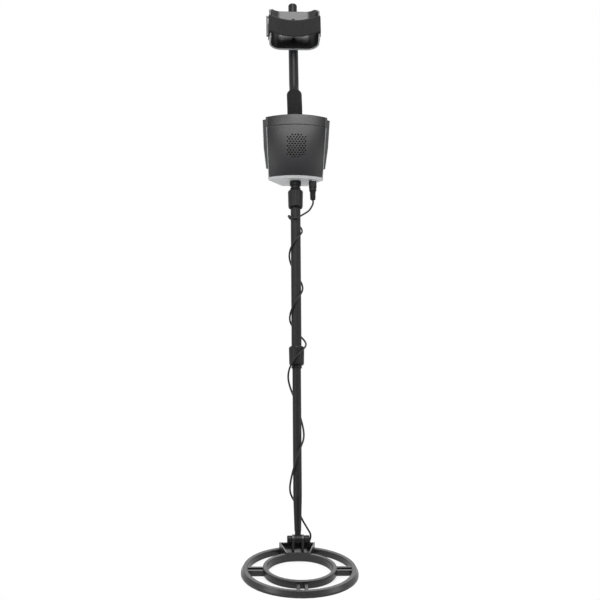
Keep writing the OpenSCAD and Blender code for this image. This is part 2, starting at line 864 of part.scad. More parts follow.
module strap_band() {
    half = strap_half();
    line = concat([for (i = [len(half) - 1 : -1 : 1]) [-half[i][0], half[i][1]]], half);
    last = len(line) - 1;
    across = [for (i = [0 : last]) let (a = line[max(i - 1, 0)], b = line[min(i + 1, last)],
        t = (b - a) / norm(b - a))
        [-t[1], t[0]] * strap_t / 2];
    polygon(concat([for (i = [0 : last]) line[i] + across[i]], [for (i = [last : -1 :
        0]) line[i] - across[i]]));
}

module arm_strap() {
    color("#3c3c3e") on_arm() difference() {
        translate([0, 0, strap_mid - strap_w / 2]) linear_extrude(strap_w) mirror([0, 1]) strap_band();
        rivet_holes(screw_d + 2 * slide_gap);
    }
}

module strap_loop() {
    post = 3;
    inner_x = strap_x + strap_t / 2 + 1.2;
    color("#1e1e20") on_arm() mirror([1, 0, 0]) translate([0, -wall_top + 7, strap_mid]) {
        for (side = [-1, 1]) translate([cup_out, 0, side * (strap_w / 2 + gap + post / 2) - post / 2])
            cube([inner_x + loop_bar - cup_out, 5, post]);
        translate([inner_x, 0, -strap_w / 2 - 1]) cube([loop_bar, 5, strap_w + 2]);
    }
}

module strap_rivets() {
    color("#9a9a9c") on_arm() for (side = [-1, 1])
        translate([strap_x + strap_t / 2, -rivet_y, strap_mid + side * strap_w / 4]) rotate([0, 90, 0])
            difference() {
                union() {
                    cylinder(d = 7, h = 1.2);
                    translate([0, 0, -strap_t - gap - cup_wall])
                        cylinder(d = screw_d, h = strap_t + gap + cup_wall + 1);
                }
                translate([0, 0, 0.8]) cylinder(d = 2.4, h = 2);
            }
}

// Control box

// The raked box without ends: bulged front, flat sides that narrow to the rear, flat rear wall
module box_prism(front_in, side_in, rear_in) {
    intersection() {
        translate([0, front_r - box_front, -big / 2]) cylinder(r = front_r - front_in, h = big, $fn = 180);
        side_frame() translate([-big - side_in, -big / 2, -big / 2]) cube(big);
        mirror([1, 0, 0]) side_frame() translate([-big - side_in, -big / 2, -big / 2]) cube(big);
        translate([-big / 2, box_rear - rear_in - big, -big / 2]) cube(big);
    }
}

// A slice of the box between two heights along the stem
module box_slice(s0, s1, inset) {
    intersection() {
        box_prism(inset, inset, inset);
        across_stem(s0, s1);
    }
}

module across_stem(s0, s1) {
    rotate([-box_rake, 0, 0]) translate([-big / 2, -big / 2, s0]) cube([big, big, s1 - s0]);
}

module grille_holes() {
    rows = 5;
    for (row = [-rows : rows]) {
        shift = abs(row) % 2 == 0 ? 0 : 0.5;
        reach = abs(row) == rows ? 2 : 3;
        for (col = [-reach : reach - 2 * shift]) translate([(col + shift) * grille_dx, 0,
            speaker_z + row * grille_dz])
            rotate([90, 0, 0]) cylinder(d = grille_hole_d, h = big, $fn = 24);
    }
}

module stem_hole(d) {
    rotate([-box_rake, 0, 0]) translate([0, 0, -big / 2]) cylinder(d = d, h = big);
}

module battery_bay() {
    bay_frame() translate([-battery[0] - 2.5, battery_h0 - 3, battery_z - shelf_t - gap])
        cube([battery[0] + 1.5, battery[1] + 6, shelf_t]);
}

module door_opening() {
    side_frame() translate([-box_wall - 2, battery_h0 - 0.5, battery_z - gap])
        cube([box_wall + 3, battery[1] + 1, battery[2] + 1]);
}

// All that lies ahead of the plane where the front meets the side walls
module ahead(room) {
    translate([0, front_y - room, 0]) rotate([-front_tilt, 0, 0])
        translate([-big / 2, -big, -big / 2]) cube(big);
}

// The full depth of the front, between two heights
module front_slab(inset, s0, s1) {
    intersection() {
        box_prism(inset, wall_show + inset, 0);
        across_stem(s0, s1);
    }
}

module box_body() {
    color("#b9babb") in_box() difference() {
        union() {
            difference() {
                box_slice(0, base_h, 0);
                box_slice(box_wall, base_h + 1, box_wall);
            }
            difference() {
                box_slice(box_wall / 2, box_h, 0);
                intersection() {
                    box_prism(-1, box_wall, box_wall);
                    across_stem(0, box_h + 1);
                }
                ahead(0);
            }
            intersection() {
                box_prism(box_wall + fit, box_wall / 2, 0);
                union() {
                    for (side = [0, 1]) mirror([side, 0, 0]) battery_bay();
                    for (at = cover_screws_at) translate([at[0], cover_y + 1, at[1]]) rotate([90, 0, 0])
                        cylinder(r = 4.5, h = 13);
                }
                across_stem(box_wall / 2, box_h);
            }
        }
        translate([-big / 2, cover_y, -big / 2]) cube(big);
        for (side = [0, 1]) mirror([side, 0, 0]) door_opening();
        stem_hole(collar_d + 2 * fit);
        rotate([-box_rake, 0, 0]) translate([socket_x, socket_y, -1])
            cylinder(d = plug_body_d + 1 + 2 * fit, h = box_wall + 2);
        for (at = cover_screws_at) translate([at[0], cover_y + 1, at[1]]) rotate([90, 0, 0])
            cylinder(d = screw_d, h = 10);
    }
}

module front_housing() {
    color("#333336") in_box() difference() {
        union() {
            difference() {
                intersection() {
                    union() {
                        front_slab(0, base_h + fit, box_h - seam);
                        front_slab(seam, box_h - seam - 1, box_h);
                    }
                    ahead(fit);
                }
                box_prism(box_wall, box_wall, 0);
            }
            intersection() {
                box_prism(box_wall / 2, box_wall + fit, 0);
                translate([0, speaker_y, speaker_z]) rotate([90, 0, 0])
                    cylinder(d = speaker_d + 2, h = big);
            }
        }
        grille_holes();
        intersection() {
            box_prism(box_wall, box_wall, 0);
            translate([0, speaker_y + 1, speaker_z]) rotate([90, 0, 0])
                cylinder(d = speaker_d - 5, h = big);
        }
    }
}

module stem_collar() {
    color("#1f1f21") on_stem(box_s) difference() {
        translate([0, 0, -collar_out]) cylinder(d = collar_d, h = collar_out + collar_in);
        translate([0, 0, -collar_out - 1]) cylinder(d = tube_d + 2 * fit, h = collar_out + collar_in + 2);
        tube_screw_holes(screw_d + 2 * fit);
    }
}

module rear_cover() {
    cuff_d = tube_d + 6;
    color("#b4b5b6") in_box() difference() {
        union() {
            intersection() {
                box_slice(0, box_h, 0);
                translate([-big / 2, cover_y, -big / 2]) cube(big);
            }
            intersection() {
                rotate([-box_rake, 0, 0]) cylinder(d = cuff_d, h = grip_start - 5);
                translate([-big / 2, cover_y, -big / 2]) cube(big);
            }
        }
        stem_hole(tube_d + 2 * fit);
        for (at = cover_screws_at) translate([at[0], cover_y - 1, at[1]]) rotate([-90, 0, 0])
            cylinder(d = screw_d + 2 * slide_gap, h = cover_t + 2);
        translate([jack_at[0], cover_y - 1, jack_at[1]]) rotate([-90, 0, 0])
            cylinder(d = 10, h = cover_t + 2);
    }
}

module housing_screws() {
    reach = collar_d / 2;
    color("#7c7c80") {
        in_box() for (at = cover_screws_at) translate([at[0], box_rear, at[1]]) rotate([-90, 0, 0])
            pan_screw(screw_d - 2 * fit, screw_head_d, 1.8, cover_t + 8);
        on_stem(box_s + collar_in - 5) for (side = [0, 180]) rotate([0, 0, side]) translate([reach, 0, 0])
            rotate([0, 90, 0]) pan_screw(screw_d - 2 * fit, screw_head_d, 1.8, reach - inner_id / 2 + 1);
    }
}

module panel_bezel() {
    ledge_s = panel_s - panel_t;
    color("#29292b") in_box() {
        difference() {
            box_slice(box_h, total_h, 0);
            box_slice(box_h - 1, total_h + 1, box_wall);
        }
        difference() {
            union() {
                difference() {
                    box_slice(ledge_s - 3, ledge_s, box_wall - 0.5);
                    box_slice(ledge_s - 4, ledge_s + 1, box_wall + panel_ledge);
                }
                intersection() {
                    box_slice(ledge_s - 8, ledge_s, box_wall - 0.5);
                    panel_posts(7.6, -8, 8);
                }
            }
            panel_posts(screw_d, -7, 8);
        }
    }
}

// Round posts across the panel, from a height below its underside
module panel_posts(d, from, h) {
    rotate([-box_rake, 0, 0]) for (at = panel_screws_at)
        translate([at[0], (at[1] - panel_s * sin(box_rake)) / cos(box_rake), panel_s - panel_t + from])
            cylinder(d = d, h = h);
}

module panel_hole(x, y, d) {
    rotate([-box_rake, 0, 0]) translate([x, (y - panel_s * sin(box_rake)) / cos(box_rake),
        panel_s - panel_t - 1])
        cylinder(d = d, h = panel_t + 2);
}

module panel_window(w, l, from, h) {
    rotate([-box_rake, 0, 0])
        translate([-w / 2, (meter_y - panel_s * sin(box_rake)) / cos(box_rake) - l / 2, panel_s + from])
            cube([w, l, h]);
}

module control_panel() {
    color("#3d3d40") in_box() difference() {
        box_slice(panel_s - panel_t, panel_s, box_wall + fit);
        panel_window(meter_w + 2 * fit, meter_l + 2 * fit, -panel_t - 1, panel_t + 2);
        for (side = [-1, 1]) panel_hole(side * knob_x, knob_y, 8);
        panel_hole(0, switch_y, 6.4);
        panel_hole(lamp_x, switch_y, lamp_d + 2 * fit);
        panel_posts(screw_d + 2 * fit, -1, panel_t + 2);
    }
}

module panel_screws() {
    color("#7c7c80") for (at = panel_screws_at) on_panel(at[0], at[1])
        pan_screw(screw_d - 2 * fit, screw_head_d, 1.2, panel_t + 6);
}

module meter_case() {
    wall = 1.6;
    color("#18181a") on_panel(0, meter_y) difference() {
        union() {
            translate([-meter_w / 2, -meter_l / 2, -meter_h]) cube([meter_w, meter_l, meter_h]);
            translate([-meter_w / 2 - 1.5, -meter_l / 2 - 1.5, 0])
                cube([meter_w + 3, meter_l + 3, window_h]);
        }
        translate([-meter_w / 2 + wall, -meter_l / 2 + wall, -meter_h + wall])
            cube([meter_w - 2 * wall, meter_l - 2 * wall, meter_h + 5]);
    }
}

// The needle's pivot on the panel, near the rear edge of the meter
needle_back = 3;
needle_len = 15;
dial_z = -4;

module meter_dial() {
    color("#e8e6dc") on_panel(0, meter_y) difference() {
        translate([-meter_w / 2 + 1.65, -meter_l / 2 + 1.65, -meter_h + 1.6])
            cube([meter_w - 3.3, meter_l - 3.3, meter_h - 1.6 + dial_z]);
        translate([0, meter_l / 2 - 1.6 - needle_back, dial_z - 3]) cylinder(d = 1.6, h = 4);
    }
}

module meter_needle() {
    color("#c43a2c") on_panel(0, meter_y) translate([0, meter_l / 2 - 1.6 - needle_back, dial_z]) {
        translate([0, 0, gap]) cylinder(d = 3.4, h = 1);
        translate([0, 0, -2]) cylinder(d = 1.6 - 2 * slide_gap, h = 2.5);
        translate([-0.3, -needle_len, gap + 0.3]) cube([0.6, needle_len, 0.5]);
    }
}

module meter_window() {
    color("#cfd6da", 0.4) on_panel(0, meter_y) translate([-meter_w / 2 + 1.65, -meter_l / 2 + 1.65,
        window_h - 1.4])
        cube([meter_w - 3.3, meter_l - 3.3, 1.4]);
}

module potentiometers() {
    color("#8f9094") for (side = [-1, 1]) on_panel(side * knob_x, knob_y) {
        translate([0, 0, -panel_t - pot_h]) cylinder(d = pot_d, h = pot_h);
        translate([0, 0, -panel_t - 0.5]) cylinder(d = 8 - 2 * fit, h = panel_t + 1.5);
        cylinder(d = shaft_d, h = shaft_h);
    }
}

// A knob with a skirt, flutes and a pointer line towards the box's front
module control_knob() {
    translate([0, 0, 1 + gap]) difference() {
        union() {
            cylinder(d = knob_d, h = 2);
            translate([0, 0, 1.5]) fluted_knob(knob_d - 3, knob_h - 1.5, 0, 18, 1.6);
        }
        translate([0, 0, -1]) cylinder(d = shaft_d + 2 * slide_gap, h = shaft_h + 1 - gap);
        translate([-0.5, -knob_d, knob_h - 0.6]) cube([1, knob_d - 2, 1]);
    }
}

module left_knob() {
    color("#1a1a1c") on_panel(-knob_x, knob_y) control_knob();
}

module right_knob() {
    color("#1a1a1c") on_panel(knob_x, knob_y) control_knob();
}

module toggle_switch() {
    color("#a3a4a8") on_panel(0, switch_y) difference() {
        union() {
            translate([-6, -3.5, -panel_t - 9]) cube([12, 7, 9]);
            translate([0, 0, -panel_t - 0.5]) cylinder(d = 6.4 - 2 * fit, h = panel_t + 5);
            cylinder(d = 8.6, h = 2, $fn = 6);
        }
        translate([0, 0, 1]) cylinder(d1 = 3.2, d2 = 5.4, h = 4);
        translate([0, 0, 0.6]) {
            sphere(d = 3.6 + 2 * slide_gap, $fn = 48);
            rotate([90, 0, 0]) cylinder(d = toggle_pin_d + 2 * slide_gap, h = toggle_pin + 1, center = true);
        }
    }
}

module toggle_lever() {
    color("#c9cacd") on_panel(0, switch_y) translate([0, 0, 0.6]) {
        sphere(d = 3.6, $fn = 48);
        rotate([90, 0, 0]) cylinder(d = toggle_pin_d, h = toggle_pin, center = true);
        cylinder(d1 = 1.8, d2 = 3, h = 13);
        translate([0, 0, 13]) sphere(d = 3, $fn = 48);
    }
}

module power_lamp() {
    color("#b02a20") on_panel(lamp_x, switch_y) {
        translate([0, 0, -panel_t - 6]) cylinder(d = lamp_d, h = panel_t + 6.5);
        translate([0, 0, 0.5]) intersection() {
            sphere(d = lamp_d, $fn = 48);
            cylinder(d = lamp_d + 1, h = lamp_d);
        }
        translate([0, 0, -panel_t - 1]) cylinder(d = lamp_d + 1, h = 1);
    }
}

module circuit_board() {
    top = panel_s - panel_t - pot_h;
    color("#1f5a36") in_box() difference() {
        box_slice(top - board_t, top, box_wall + 3);
        // The meter drops through a bay that is open to the front
        translate([0, -meter_l / 2, 0]) panel_window(meter_w + 2, 2 * meter_l + 1,
            -panel_t - pot_h - board_t - 1, board_t + 2);
    }
}

module speaker_basket() {
    rim_r = speaker_d / 2;
    magnet_r = magnet_d / 2;
    color("#55565a") in_box() translate([0, speaker_y, speaker_z]) rotate([-90, 0, 0]) rotate_extrude()
        polygon([
        [rim_r - 3, 0], [rim_r, 0], [rim_r, 1.5], [rim_r - 2, 1.5], [magnet_r, 8], [magnet_r,
            speaker_depth],
        [0, speaker_depth], [0, 9], [magnet_r - 2, 7], [rim_r - 4, 2]
    ]);
}

module speaker_cone() {
    rim_r = speaker_d / 2 - 3.2;
    color("#2a2a2a") in_box() translate([0, speaker_y, speaker_z]) rotate([-90, 0, 0]) rotate_extrude()
        polygon([
        [rim_r, 0], [rim_r, 0.3], [rim_r - 1, 0.8], [9, 6.4], [0, 7], [0, 4], [5, 4.6], [9, 5.6]
    ]);
}

module batteries() {
    color("#6d7076") for (side = [-1, 1]) in_bay(side)
        translate([-battery[0] - 0.5, battery_h0, battery_z])
        cube(battery);
}

module battery_snaps() {
    color("#202022") for (side = [-1, 1]) in_bay(side)
        translate([-battery[0] - 0.5, battery_h0 + 0.5, battery_z + battery[2]])
            cube([battery[0] - 3, battery[1] - 1, snap_h]);
}

// A hollow wedge that is thick at the top and thin at the bottom, with ridges across its outside
function door_face(z) = z < door_knee ? door_foot_t + (door_t - door_foot_t)
    * (z - door_foot) / (door_knee - door_foot) : door_t;

module door_wedge(inset, from) {
    low = -20;
    high = 130;
    translate([0, door_h1 - inset, 0]) rotate([90, 0, 0]) linear_extrude(door_h1 - door_h0 - 2 * inset)
        polygon([
            [from, low], [door_foot_t - inset, low], [door_foot_t - inset, door_foot],
            [door_t - inset, door_knee], [door_t - inset, high], [from, high]
        ]);
}

module battery_door(side) {
    color("#232325") difference() {
        on_side(side) difference() {
            door_wedge(0, gap);
            intersection() {
                door_wedge(door_wall, -1);
                translate([-1, -big / 2, battery_z - door_wall]) cube([big, big, battery[2] + snap_h]);
            }
            for (i = [0 : door_ridges - 1]) let (z = door_foot + 8 + i * door_ridge_pitch)
                translate([door_face(z) + 0.2, 0, z]) rotate([-90, 0, 0])
                    cylinder(d = door_ridge_pitch / 2, h = door_h1 - 4, $fn = 24);
        }
        in_box() {
            across_stem(door_s1, box_h + big / 2);
            across_stem(-big / 2, door_s0);
        }
    }
}

module left_battery_door() {
    battery_door(-1);
}

module right_battery_door() {
    battery_door(1);
}

module headphone_socket() {
    color("#2c2d30") in_box() translate([jack_at[0], box_rear + 2, jack_at[1]]) rotate([90, 0, 0])
        difference() {
        union() {
            cylinder(d = 13, h = 2 - fit, $fn = 6);
            cylinder(d = 10 - 2 * fit, h = cover_t + 2.5);
            translate([0, 0, cover_t + 2]) cylinder(d = 12, h = jack_len - 3);
        }
        translate([0, 0, -1]) cylinder(r = jack_r, h = jack_len + 1);
    }
}

// Coil socket and plug, below the box

module coil_socket() {
    color("#b4b5b9") on_stem(box_s) translate([socket_x, socket_y, 0]) difference() {
        union() {
            translate([0, 0, -plug_flange]) cylinder(d = plug_body_d + 4, h = plug_flange);
            translate([0, 0, -9]) cylinder(d = plug_body_d - 0.6, h = 9);
            translate([0, 0, -0.5]) cylinder(d = plug_body_d + 1, h = 10);
            translate([0, 0, box_wall]) cylinder(d = plug_body_d + 4, h = 3, $fn = 6);
        }
        translate([0, 0, -10]) cylinder(d = plug_body_d - 3, h = 7);
    }
}

module coil_plug() {
    color("#26262a") on_stem(box_s) translate([socket_x, socket_y, 0]) {
        translate([0, 0, -plug_len]) cylinder(d = ring_d - 1,
            h = plug_len - plug_flange - ring_len - 2 * gap);
        translate([0, 0, -plug_flange - ring_len - 1])
            cylinder(d = plug_body_d - 0.6, h = ring_len + plug_flange - 8.4);
    }
}

module coupling_ring() {
    color("#c4c5c9") on_stem(box_s - plug_flange - gap - ring_len) translate([socket_x, socket_y, 0])
        fluted_knob(ring_d, ring_len, plug_body_d, 24, 1.2);
}

module plug_boot() {
    color("#18181a") on_stem(lead_start_s) translate([socket_x, socket_y, 0])
        cylinder(d1 = boot_d - 1, d2 = boot_d, h = boot_len);
}

// Lead: one smooth run round the stem, cut where it passes from body to body

function lead_knot(i) = lead_route[max(0, min(len(lead_route) - 1, i))];
function between(a, b, c, d, u) = 0.5 * (2 * b + (c - a) * u + (2 * a - 5 * b + 4 * c - d) * u * u
    + (3 * b - a - 3 * c + d) * u * u * u);
function lead_point(t) = let (i = min(floor(t), len(lead_route) - 2),
        k = between(lead_knot(i - 1), lead_knot(i), lead_knot(i + 1), lead_knot(i + 2), t - i))
    [k[2] * sin(k[1]), -k[2] * cos(k[1]), k[0]];
function unit(v) = v / norm(v);
function lead_ring(t, t0, t1) = let (p = lead_point(t), along = unit(lead_point(min(t + 0.02, t1))
    - lead_point(max(t - 0.02, t0))),
        out = [p[0], p[1], 0], n = unit(out - (out * along) * along), b = cross(along, n))
    [for (j = [0 : lead_sides - 1]) p + lead_d / 2 * (cos(360 * j / lead_sides)
        * n + sin(360 * j / lead_sides) * b)];

module lead_run(t0, t1) {
    rings = round((t1 - t0) * lead_steps);
    n = lead_sides;
    points = [for (i = [0 : rings]) each lead_ring(t0 + (t1 - t0) * i / rings, t0, t1)];
    walls = [for (i = [0 : rings - 1], j = [0 : n - 1]) let (a = i * n + j, d = i * n + (j + 1) % n)
        each [[a, a + n, d + n], [a, d + n, d]]];
    ends = [for (j = [1 : n - 2]) each [[0, j, j + 1], [rings * n, rings * n + j + 1, rings * n + j]]];
    polyhedron(points = points, faces = concat(walls, ends));
}

// Least gap of the lead to itself, between points more than a half turn apart
lead_samples = [for (t = [0 : 0.25 : len(lead_route) - 1]) lead_point(t)];
lead_far = [for (i = [0 : len(lead_samples) - 1], j = [i + 8 : 1 : len(lead_samples) - 1])
    norm(lead_samples[i] - lead_samples[j])];
lead_runs = [for (i = [1 : len(lead_samples) - 1]) norm(lead_samples[i] - lead_samples[i - 1])];
function total(v, i = 0) = i >= len(v) ? 0 : v[i] + total(v, i + 1);
echo(lead_least_gap = min(lead_far) - lead_d, lead_length = total(lead_runs));

module lead_stretch(k) {
    last = len(lead_cuts) - 2;
    color("#1b1b1d") on_stem(0) lead_run(lead_cuts[k] + (k > 0 ? lead_trim : 0),
        lead_cuts[k + 1] - (k < last ? lead_trim : 0));
}

module lead_upper() {
    lead_stretch(0);
}

module lead_middle() {
    lead_stretch(1);
}

module lead_lower() {
    lead_stretch(2);
}

module lead_tail() {
    lead_stretch(3);
}

coil_top();
coil_base();
transmit_winding();
receive_winding();
lead_gland();
yoke_bolt();
yoke_nut();
stem_tip();
yoke_washers();
lower_tube();
guide_bush();
middle_tube();
lower_collet();
upper_collet();
lower_lock_nut();
upper_lock_nut();
inner_tube();
handle_tube();
tube_end_plug();
foam_grip();
arm_cup();
cup_bolts();
cup_nuts();
arm_strap();
strap_loop();
strap_rivets();
box_body();
front_housing();
rear_cover();
stem_collar();
housing_screws();
panel_bezel();
control_panel();
panel_screws();
meter_case();
meter_dial();
meter_needle();
meter_window();
potentiometers();
left_knob();
right_knob();
toggle_switch();
toggle_lever();
power_lamp();
circuit_board();
speaker_basket();
speaker_cone();
batteries();
battery_snaps();
left_battery_door();
right_battery_door();
headphone_socket();
coil_socket();
coil_plug();
coupling_ring();
plug_boot();
lead_upper();
lead_middle();
lead_lower();
lead_tail();
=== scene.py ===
import json
import math

import bpy
from mathutils import Matrix, Vector


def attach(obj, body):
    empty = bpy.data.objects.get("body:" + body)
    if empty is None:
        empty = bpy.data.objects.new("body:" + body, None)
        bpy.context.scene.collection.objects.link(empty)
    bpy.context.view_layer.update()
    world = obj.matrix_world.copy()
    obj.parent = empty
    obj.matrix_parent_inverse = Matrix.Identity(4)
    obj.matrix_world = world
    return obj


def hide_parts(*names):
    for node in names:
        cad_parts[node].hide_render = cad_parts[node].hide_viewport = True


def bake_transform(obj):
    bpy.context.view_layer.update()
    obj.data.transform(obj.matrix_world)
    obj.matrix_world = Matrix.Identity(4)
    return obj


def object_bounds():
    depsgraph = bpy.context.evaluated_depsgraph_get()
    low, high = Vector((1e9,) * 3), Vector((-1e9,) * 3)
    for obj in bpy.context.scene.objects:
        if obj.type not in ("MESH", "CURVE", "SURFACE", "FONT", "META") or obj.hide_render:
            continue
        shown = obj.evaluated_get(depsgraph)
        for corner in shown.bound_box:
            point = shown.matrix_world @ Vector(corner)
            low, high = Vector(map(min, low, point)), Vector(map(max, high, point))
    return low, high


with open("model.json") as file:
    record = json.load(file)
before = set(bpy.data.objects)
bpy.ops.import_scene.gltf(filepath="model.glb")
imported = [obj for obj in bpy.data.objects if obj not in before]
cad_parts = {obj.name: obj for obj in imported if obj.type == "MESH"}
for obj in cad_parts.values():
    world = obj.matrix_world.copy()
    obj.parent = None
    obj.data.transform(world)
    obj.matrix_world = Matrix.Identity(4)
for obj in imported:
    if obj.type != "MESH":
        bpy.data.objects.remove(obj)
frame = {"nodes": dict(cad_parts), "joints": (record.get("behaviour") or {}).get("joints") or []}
cad_box = [list(corner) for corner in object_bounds()]

# Search coil
# Two open rings joined by three double spokes and a tray, moulded in black ABS with a satin grain.
# A flat base is glued under it, and the copper windings lie sealed between the two.

MM = 0.001
FLOW_MM = 45.0
# Most of a noise texture's values lie between these.
NOISE_RANGE = {"From Min": 0.3, "From Max": 0.7}


def linear(hex_colour):
    """An sRGB hex colour as linear red, green and blue, with alpha."""
    parts = [int(hex_colour[i : i + 2], 16) / 255 for i in (1, 3, 5)]
    return [p / 12.92 if p <= 0.04045 else ((p + 0.055) / 1.055) ** 2.4 for p in parts] + [1.0]


def add(tree, kind, inputs=None, **settings):
    """Adds a node: settings first, then each input as a value, or as a link from a socket or a node."""
    made = tree.nodes.new(kind)
    for name, value in settings.items():
        setattr(made, name, value)
    for name, value in (inputs or {}).items():
        if isinstance(value, bpy.types.Node):
            value = next(output for output in value.outputs if output.enabled)
        if isinstance(value, bpy.types.NodeSocket):
            tree.links.new(value, made.inputs[name])
        else:
            made.inputs[name].default_value = value
    return made


def new_material(name):
    """An empty material, its node tree, and the object's own coordinates."""
    material = bpy.data.materials.new(name)
    material.use_nodes = True
    material.node_tree.nodes.clear()
    return material, material.node_tree, add(material.node_tree, "ShaderNodeTexCoord").outputs["Object"]


def moulded(
    name, dark, pale, grain_mm, roughness, edge_mm=0.5, depth_mm=0.05, specular=0.5, crown=None, painted_highlight=None
):
    """Moulded plastic: faint flow patches, edges softened by the mould, and a grain left by its etched steel.

    The real grain is 0.1 to 0.2 mm wide, and it is drawn as coarse as it needs to show. A crown is a height
    that bows a whole face, and a painted highlight is a mask and the paler colour painted in it."""
    material, tree, at = new_material(name)
    flow = add(tree, "ShaderNodeTexNoise", {"Vector": at, "Scale": 1 / (FLOW_MM * MM), "Detail": 3.0})
    grain = add(tree, "ShaderNodeTexNoise", {"Vector": at, "Scale": 1 / (grain_mm * MM), "Detail": 2.0})
    colour = add(tree, "ShaderNodeMix", {0: flow, 6: linear(dark), 7: linear(pale)}, data_type="RGBA")
    # A painted highlight: a paler colour laid over the surface inside the mask.
    if painted_highlight:
        mask, highlight_colour = painted_highlight
        shown = {0: mask(tree, at), 6: colour, 7: linear(highlight_colour)}
        colour = add(tree, "ShaderNodeMix", shown, data_type="RGBA")
    rounding = {"Radius": edge_mm * MM}
    if crown:
        rounding["Normal"] = add(tree, "ShaderNodeBump", {"Height": crown(tree, at), "Distance": 1.0})
    edge = add(tree, "ShaderNodeBevel", rounding, samples=4)
    relief = {"Height": grain, "Normal": edge, "Strength": 0.35, "Distance": depth_mm * MM}
    dulling = {"Value": grain, "To Min": roughness - 0.05, "To Max": roughness + 0.07, **NOISE_RANGE}
    skin = add(
        tree,
        "ShaderNodeBsdfPrincipled",
        {
            "Base Color": colour,
            "Roughness": add(tree, "ShaderNodeMapRange", dulling),
            "Normal": add(tree, "ShaderNodeBump", relief),
            "Specular IOR Level": specular,
        },
    )
    add(tree, "ShaderNodeOutputMaterial", {"Surface": skin})
    return material


def dress(material, *names):
    """Gives CAD nodes their finish."""
    for name in names:
        mesh = frame["nodes"][name].data
        mesh.materials.clear()
        mesh.materials.append(material)


# Black ABS: nearly black, with a satin shine that turns upward faces grey.
coil_abs = moulded("black_abs_coil", "#121214", "#1a1a1c", 0.7, 0.3)
dress(coil_abs, "coil_top", "coil_base")

# Enamelled copper: lacquered wire in layers, which glints along its turns.
# Its colour is darker in the grooves between the turns, painted shade, and paler on their crests, a painted
# highlight. It is drawn at twice its width.
WIRE_MM = 0.47
# A wave texture of scale 1 repeats after this length.
WAVE = math.pi / 10
copper, tree, at = new_material("enamelled_copper")
winding = {"Vector": at, "Scale": WAVE / (2 * WIRE_MM * MM), "Distortion": 0.4}
turns_with_painted_shade = add(tree, "ShaderNodeTexWave", winding, wave_type="RINGS", rings_direction="Z").outputs["Fac"]
skin = add(
    tree,
    "ShaderNodeBsdfPrincipled",
    {
        # Painted shade in the grooves between the turns, and a painted highlight on their crests.
        "Base Color": add(
            tree, "ShaderNodeMix", {0: turns_with_painted_shade, 6: linear("#7d4420"), 7: linear("#b4693a")}, data_type="RGBA"
        ),
        "Metallic": 1.0,
        "Roughness": 0.35,
        "Normal": add(tree, "ShaderNodeBump", {"Height": turns_with_painted_shade, "Strength": 0.4, "Distance": 0.1 * MM}),
    },
)
add(tree, "ShaderNodeOutputMaterial", {"Surface": skin})
dress(copper, "transmit_winding", "receive_winding")

# Lead gland
# A ribbed sleeve of soft black rubber, pushed into a hole in the tray, that keeps the lead from kinking.
# The ribs are grown by a node tree, which the plug's boot uses too.

# Black rubber: dull and dark, with hardly a highlight.
rubber = moulded("black_rubber", "#141415", "#1b1b1c", 0.9, 0.6, specular=0.2)
dress(rubber, "yoke_washers")


def new_tree(name, sockets):
    """A node tree that makes geometry, with its named inputs."""
    tree = bpy.data.node_groups.new(name, "GeometryNodeTree")
    tree.interface.new_socket("Geometry", in_out="OUTPUT", socket_type="NodeSocketGeometry")
    for label, kind in sockets.items():
        tree.interface.new_socket(label, in_out="INPUT", socket_type="NodeSocket" + kind)
    return tree, add(tree, "NodeGroupInput").outputs


def finish_tree(tree, geometry, material):
    """Ends a node tree: copies made real, and their material set."""
    whole = add(tree, "GeometryNodeRealizeInstances", {"Geometry": geometry})
    painted = add(tree, "GeometryNodeSetMaterial", {"Geometry": whole, "Material": material})
    add(tree, "NodeGroupOutput", {"Geometry": painted})


def grow(name, tree, values, place, body):
    """Runs a node tree, keeps its result as a plain mesh in its place, and lets it ride on a body."""
    piece = bpy.data.objects.new(name, bpy.data.meshes.new(name))
    bpy.context.collection.objects.link(piece)
    grower = piece.modifiers.new(name, "NODES")
    grower.node_group = tree
    for socket in tree.interface.items_tree:
        if socket.in_out == "INPUT":
            grower[socket.identifier] = values[socket.name]
    made = bpy.data.meshes.new_from_object(piece.evaluated_get(bpy.context.evaluated_depsgraph_get()))
    piece.modifiers.remove(grower)
    made.transform(place)
    piece.data = made
    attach(piece, body)
    return piece


SLEEVE_SIDES = 32
# The sleeve between its ribs, as shares of the radius at either end, and the ribs as shares of their pitch
CORE_BASE = 0.86
CORE_TIP = 0.9
FIRST_RIB = 0.4
RIB_DEPTH = 0.55
sleeve_tree, given = new_tree(
    "ribbed_sleeve",
    {"Length": "Float", "Base radius": "Float", "Tip radius": "Float", "Ribs": "Int", "Material": "Material"},
)
pitch = add(sleeve_tree, "ShaderNodeMath", {0: given["Length"], 1: given["Ribs"]}, operation="DIVIDE")
core = add(
    sleeve_tree,
    "GeometryNodeMeshCone",
    {
        "Vertices": SLEEVE_SIDES,
        "Radius Bottom": add(
            sleeve_tree, "ShaderNodeMath", {0: given["Base radius"], 1: CORE_BASE}, operation="MULTIPLY"
        ),
        "Radius Top": add(
            sleeve_tree, "ShaderNodeMath", {0: given["Tip radius"], 1: CORE_TIP}, operation="MULTIPLY"
        ),
        "Depth": given["Length"],
    },
)
first_rib = add(sleeve_tree, "ShaderNodeMath", {0: pitch, 1: FIRST_RIB}, operation="MULTIPLY")
stations = add(
    sleeve_tree,
    "GeometryNodeMeshLine",
    {
        "Count": given["Ribs"],
        "Start Location": add(sleeve_tree, "ShaderNodeCombineXYZ", {"Z": first_rib}),
        "Offset": add(sleeve_tree, "ShaderNodeCombineXYZ", {"Z": pitch}),
    },
)
position = add(sleeve_tree, "GeometryNodeInputPosition")
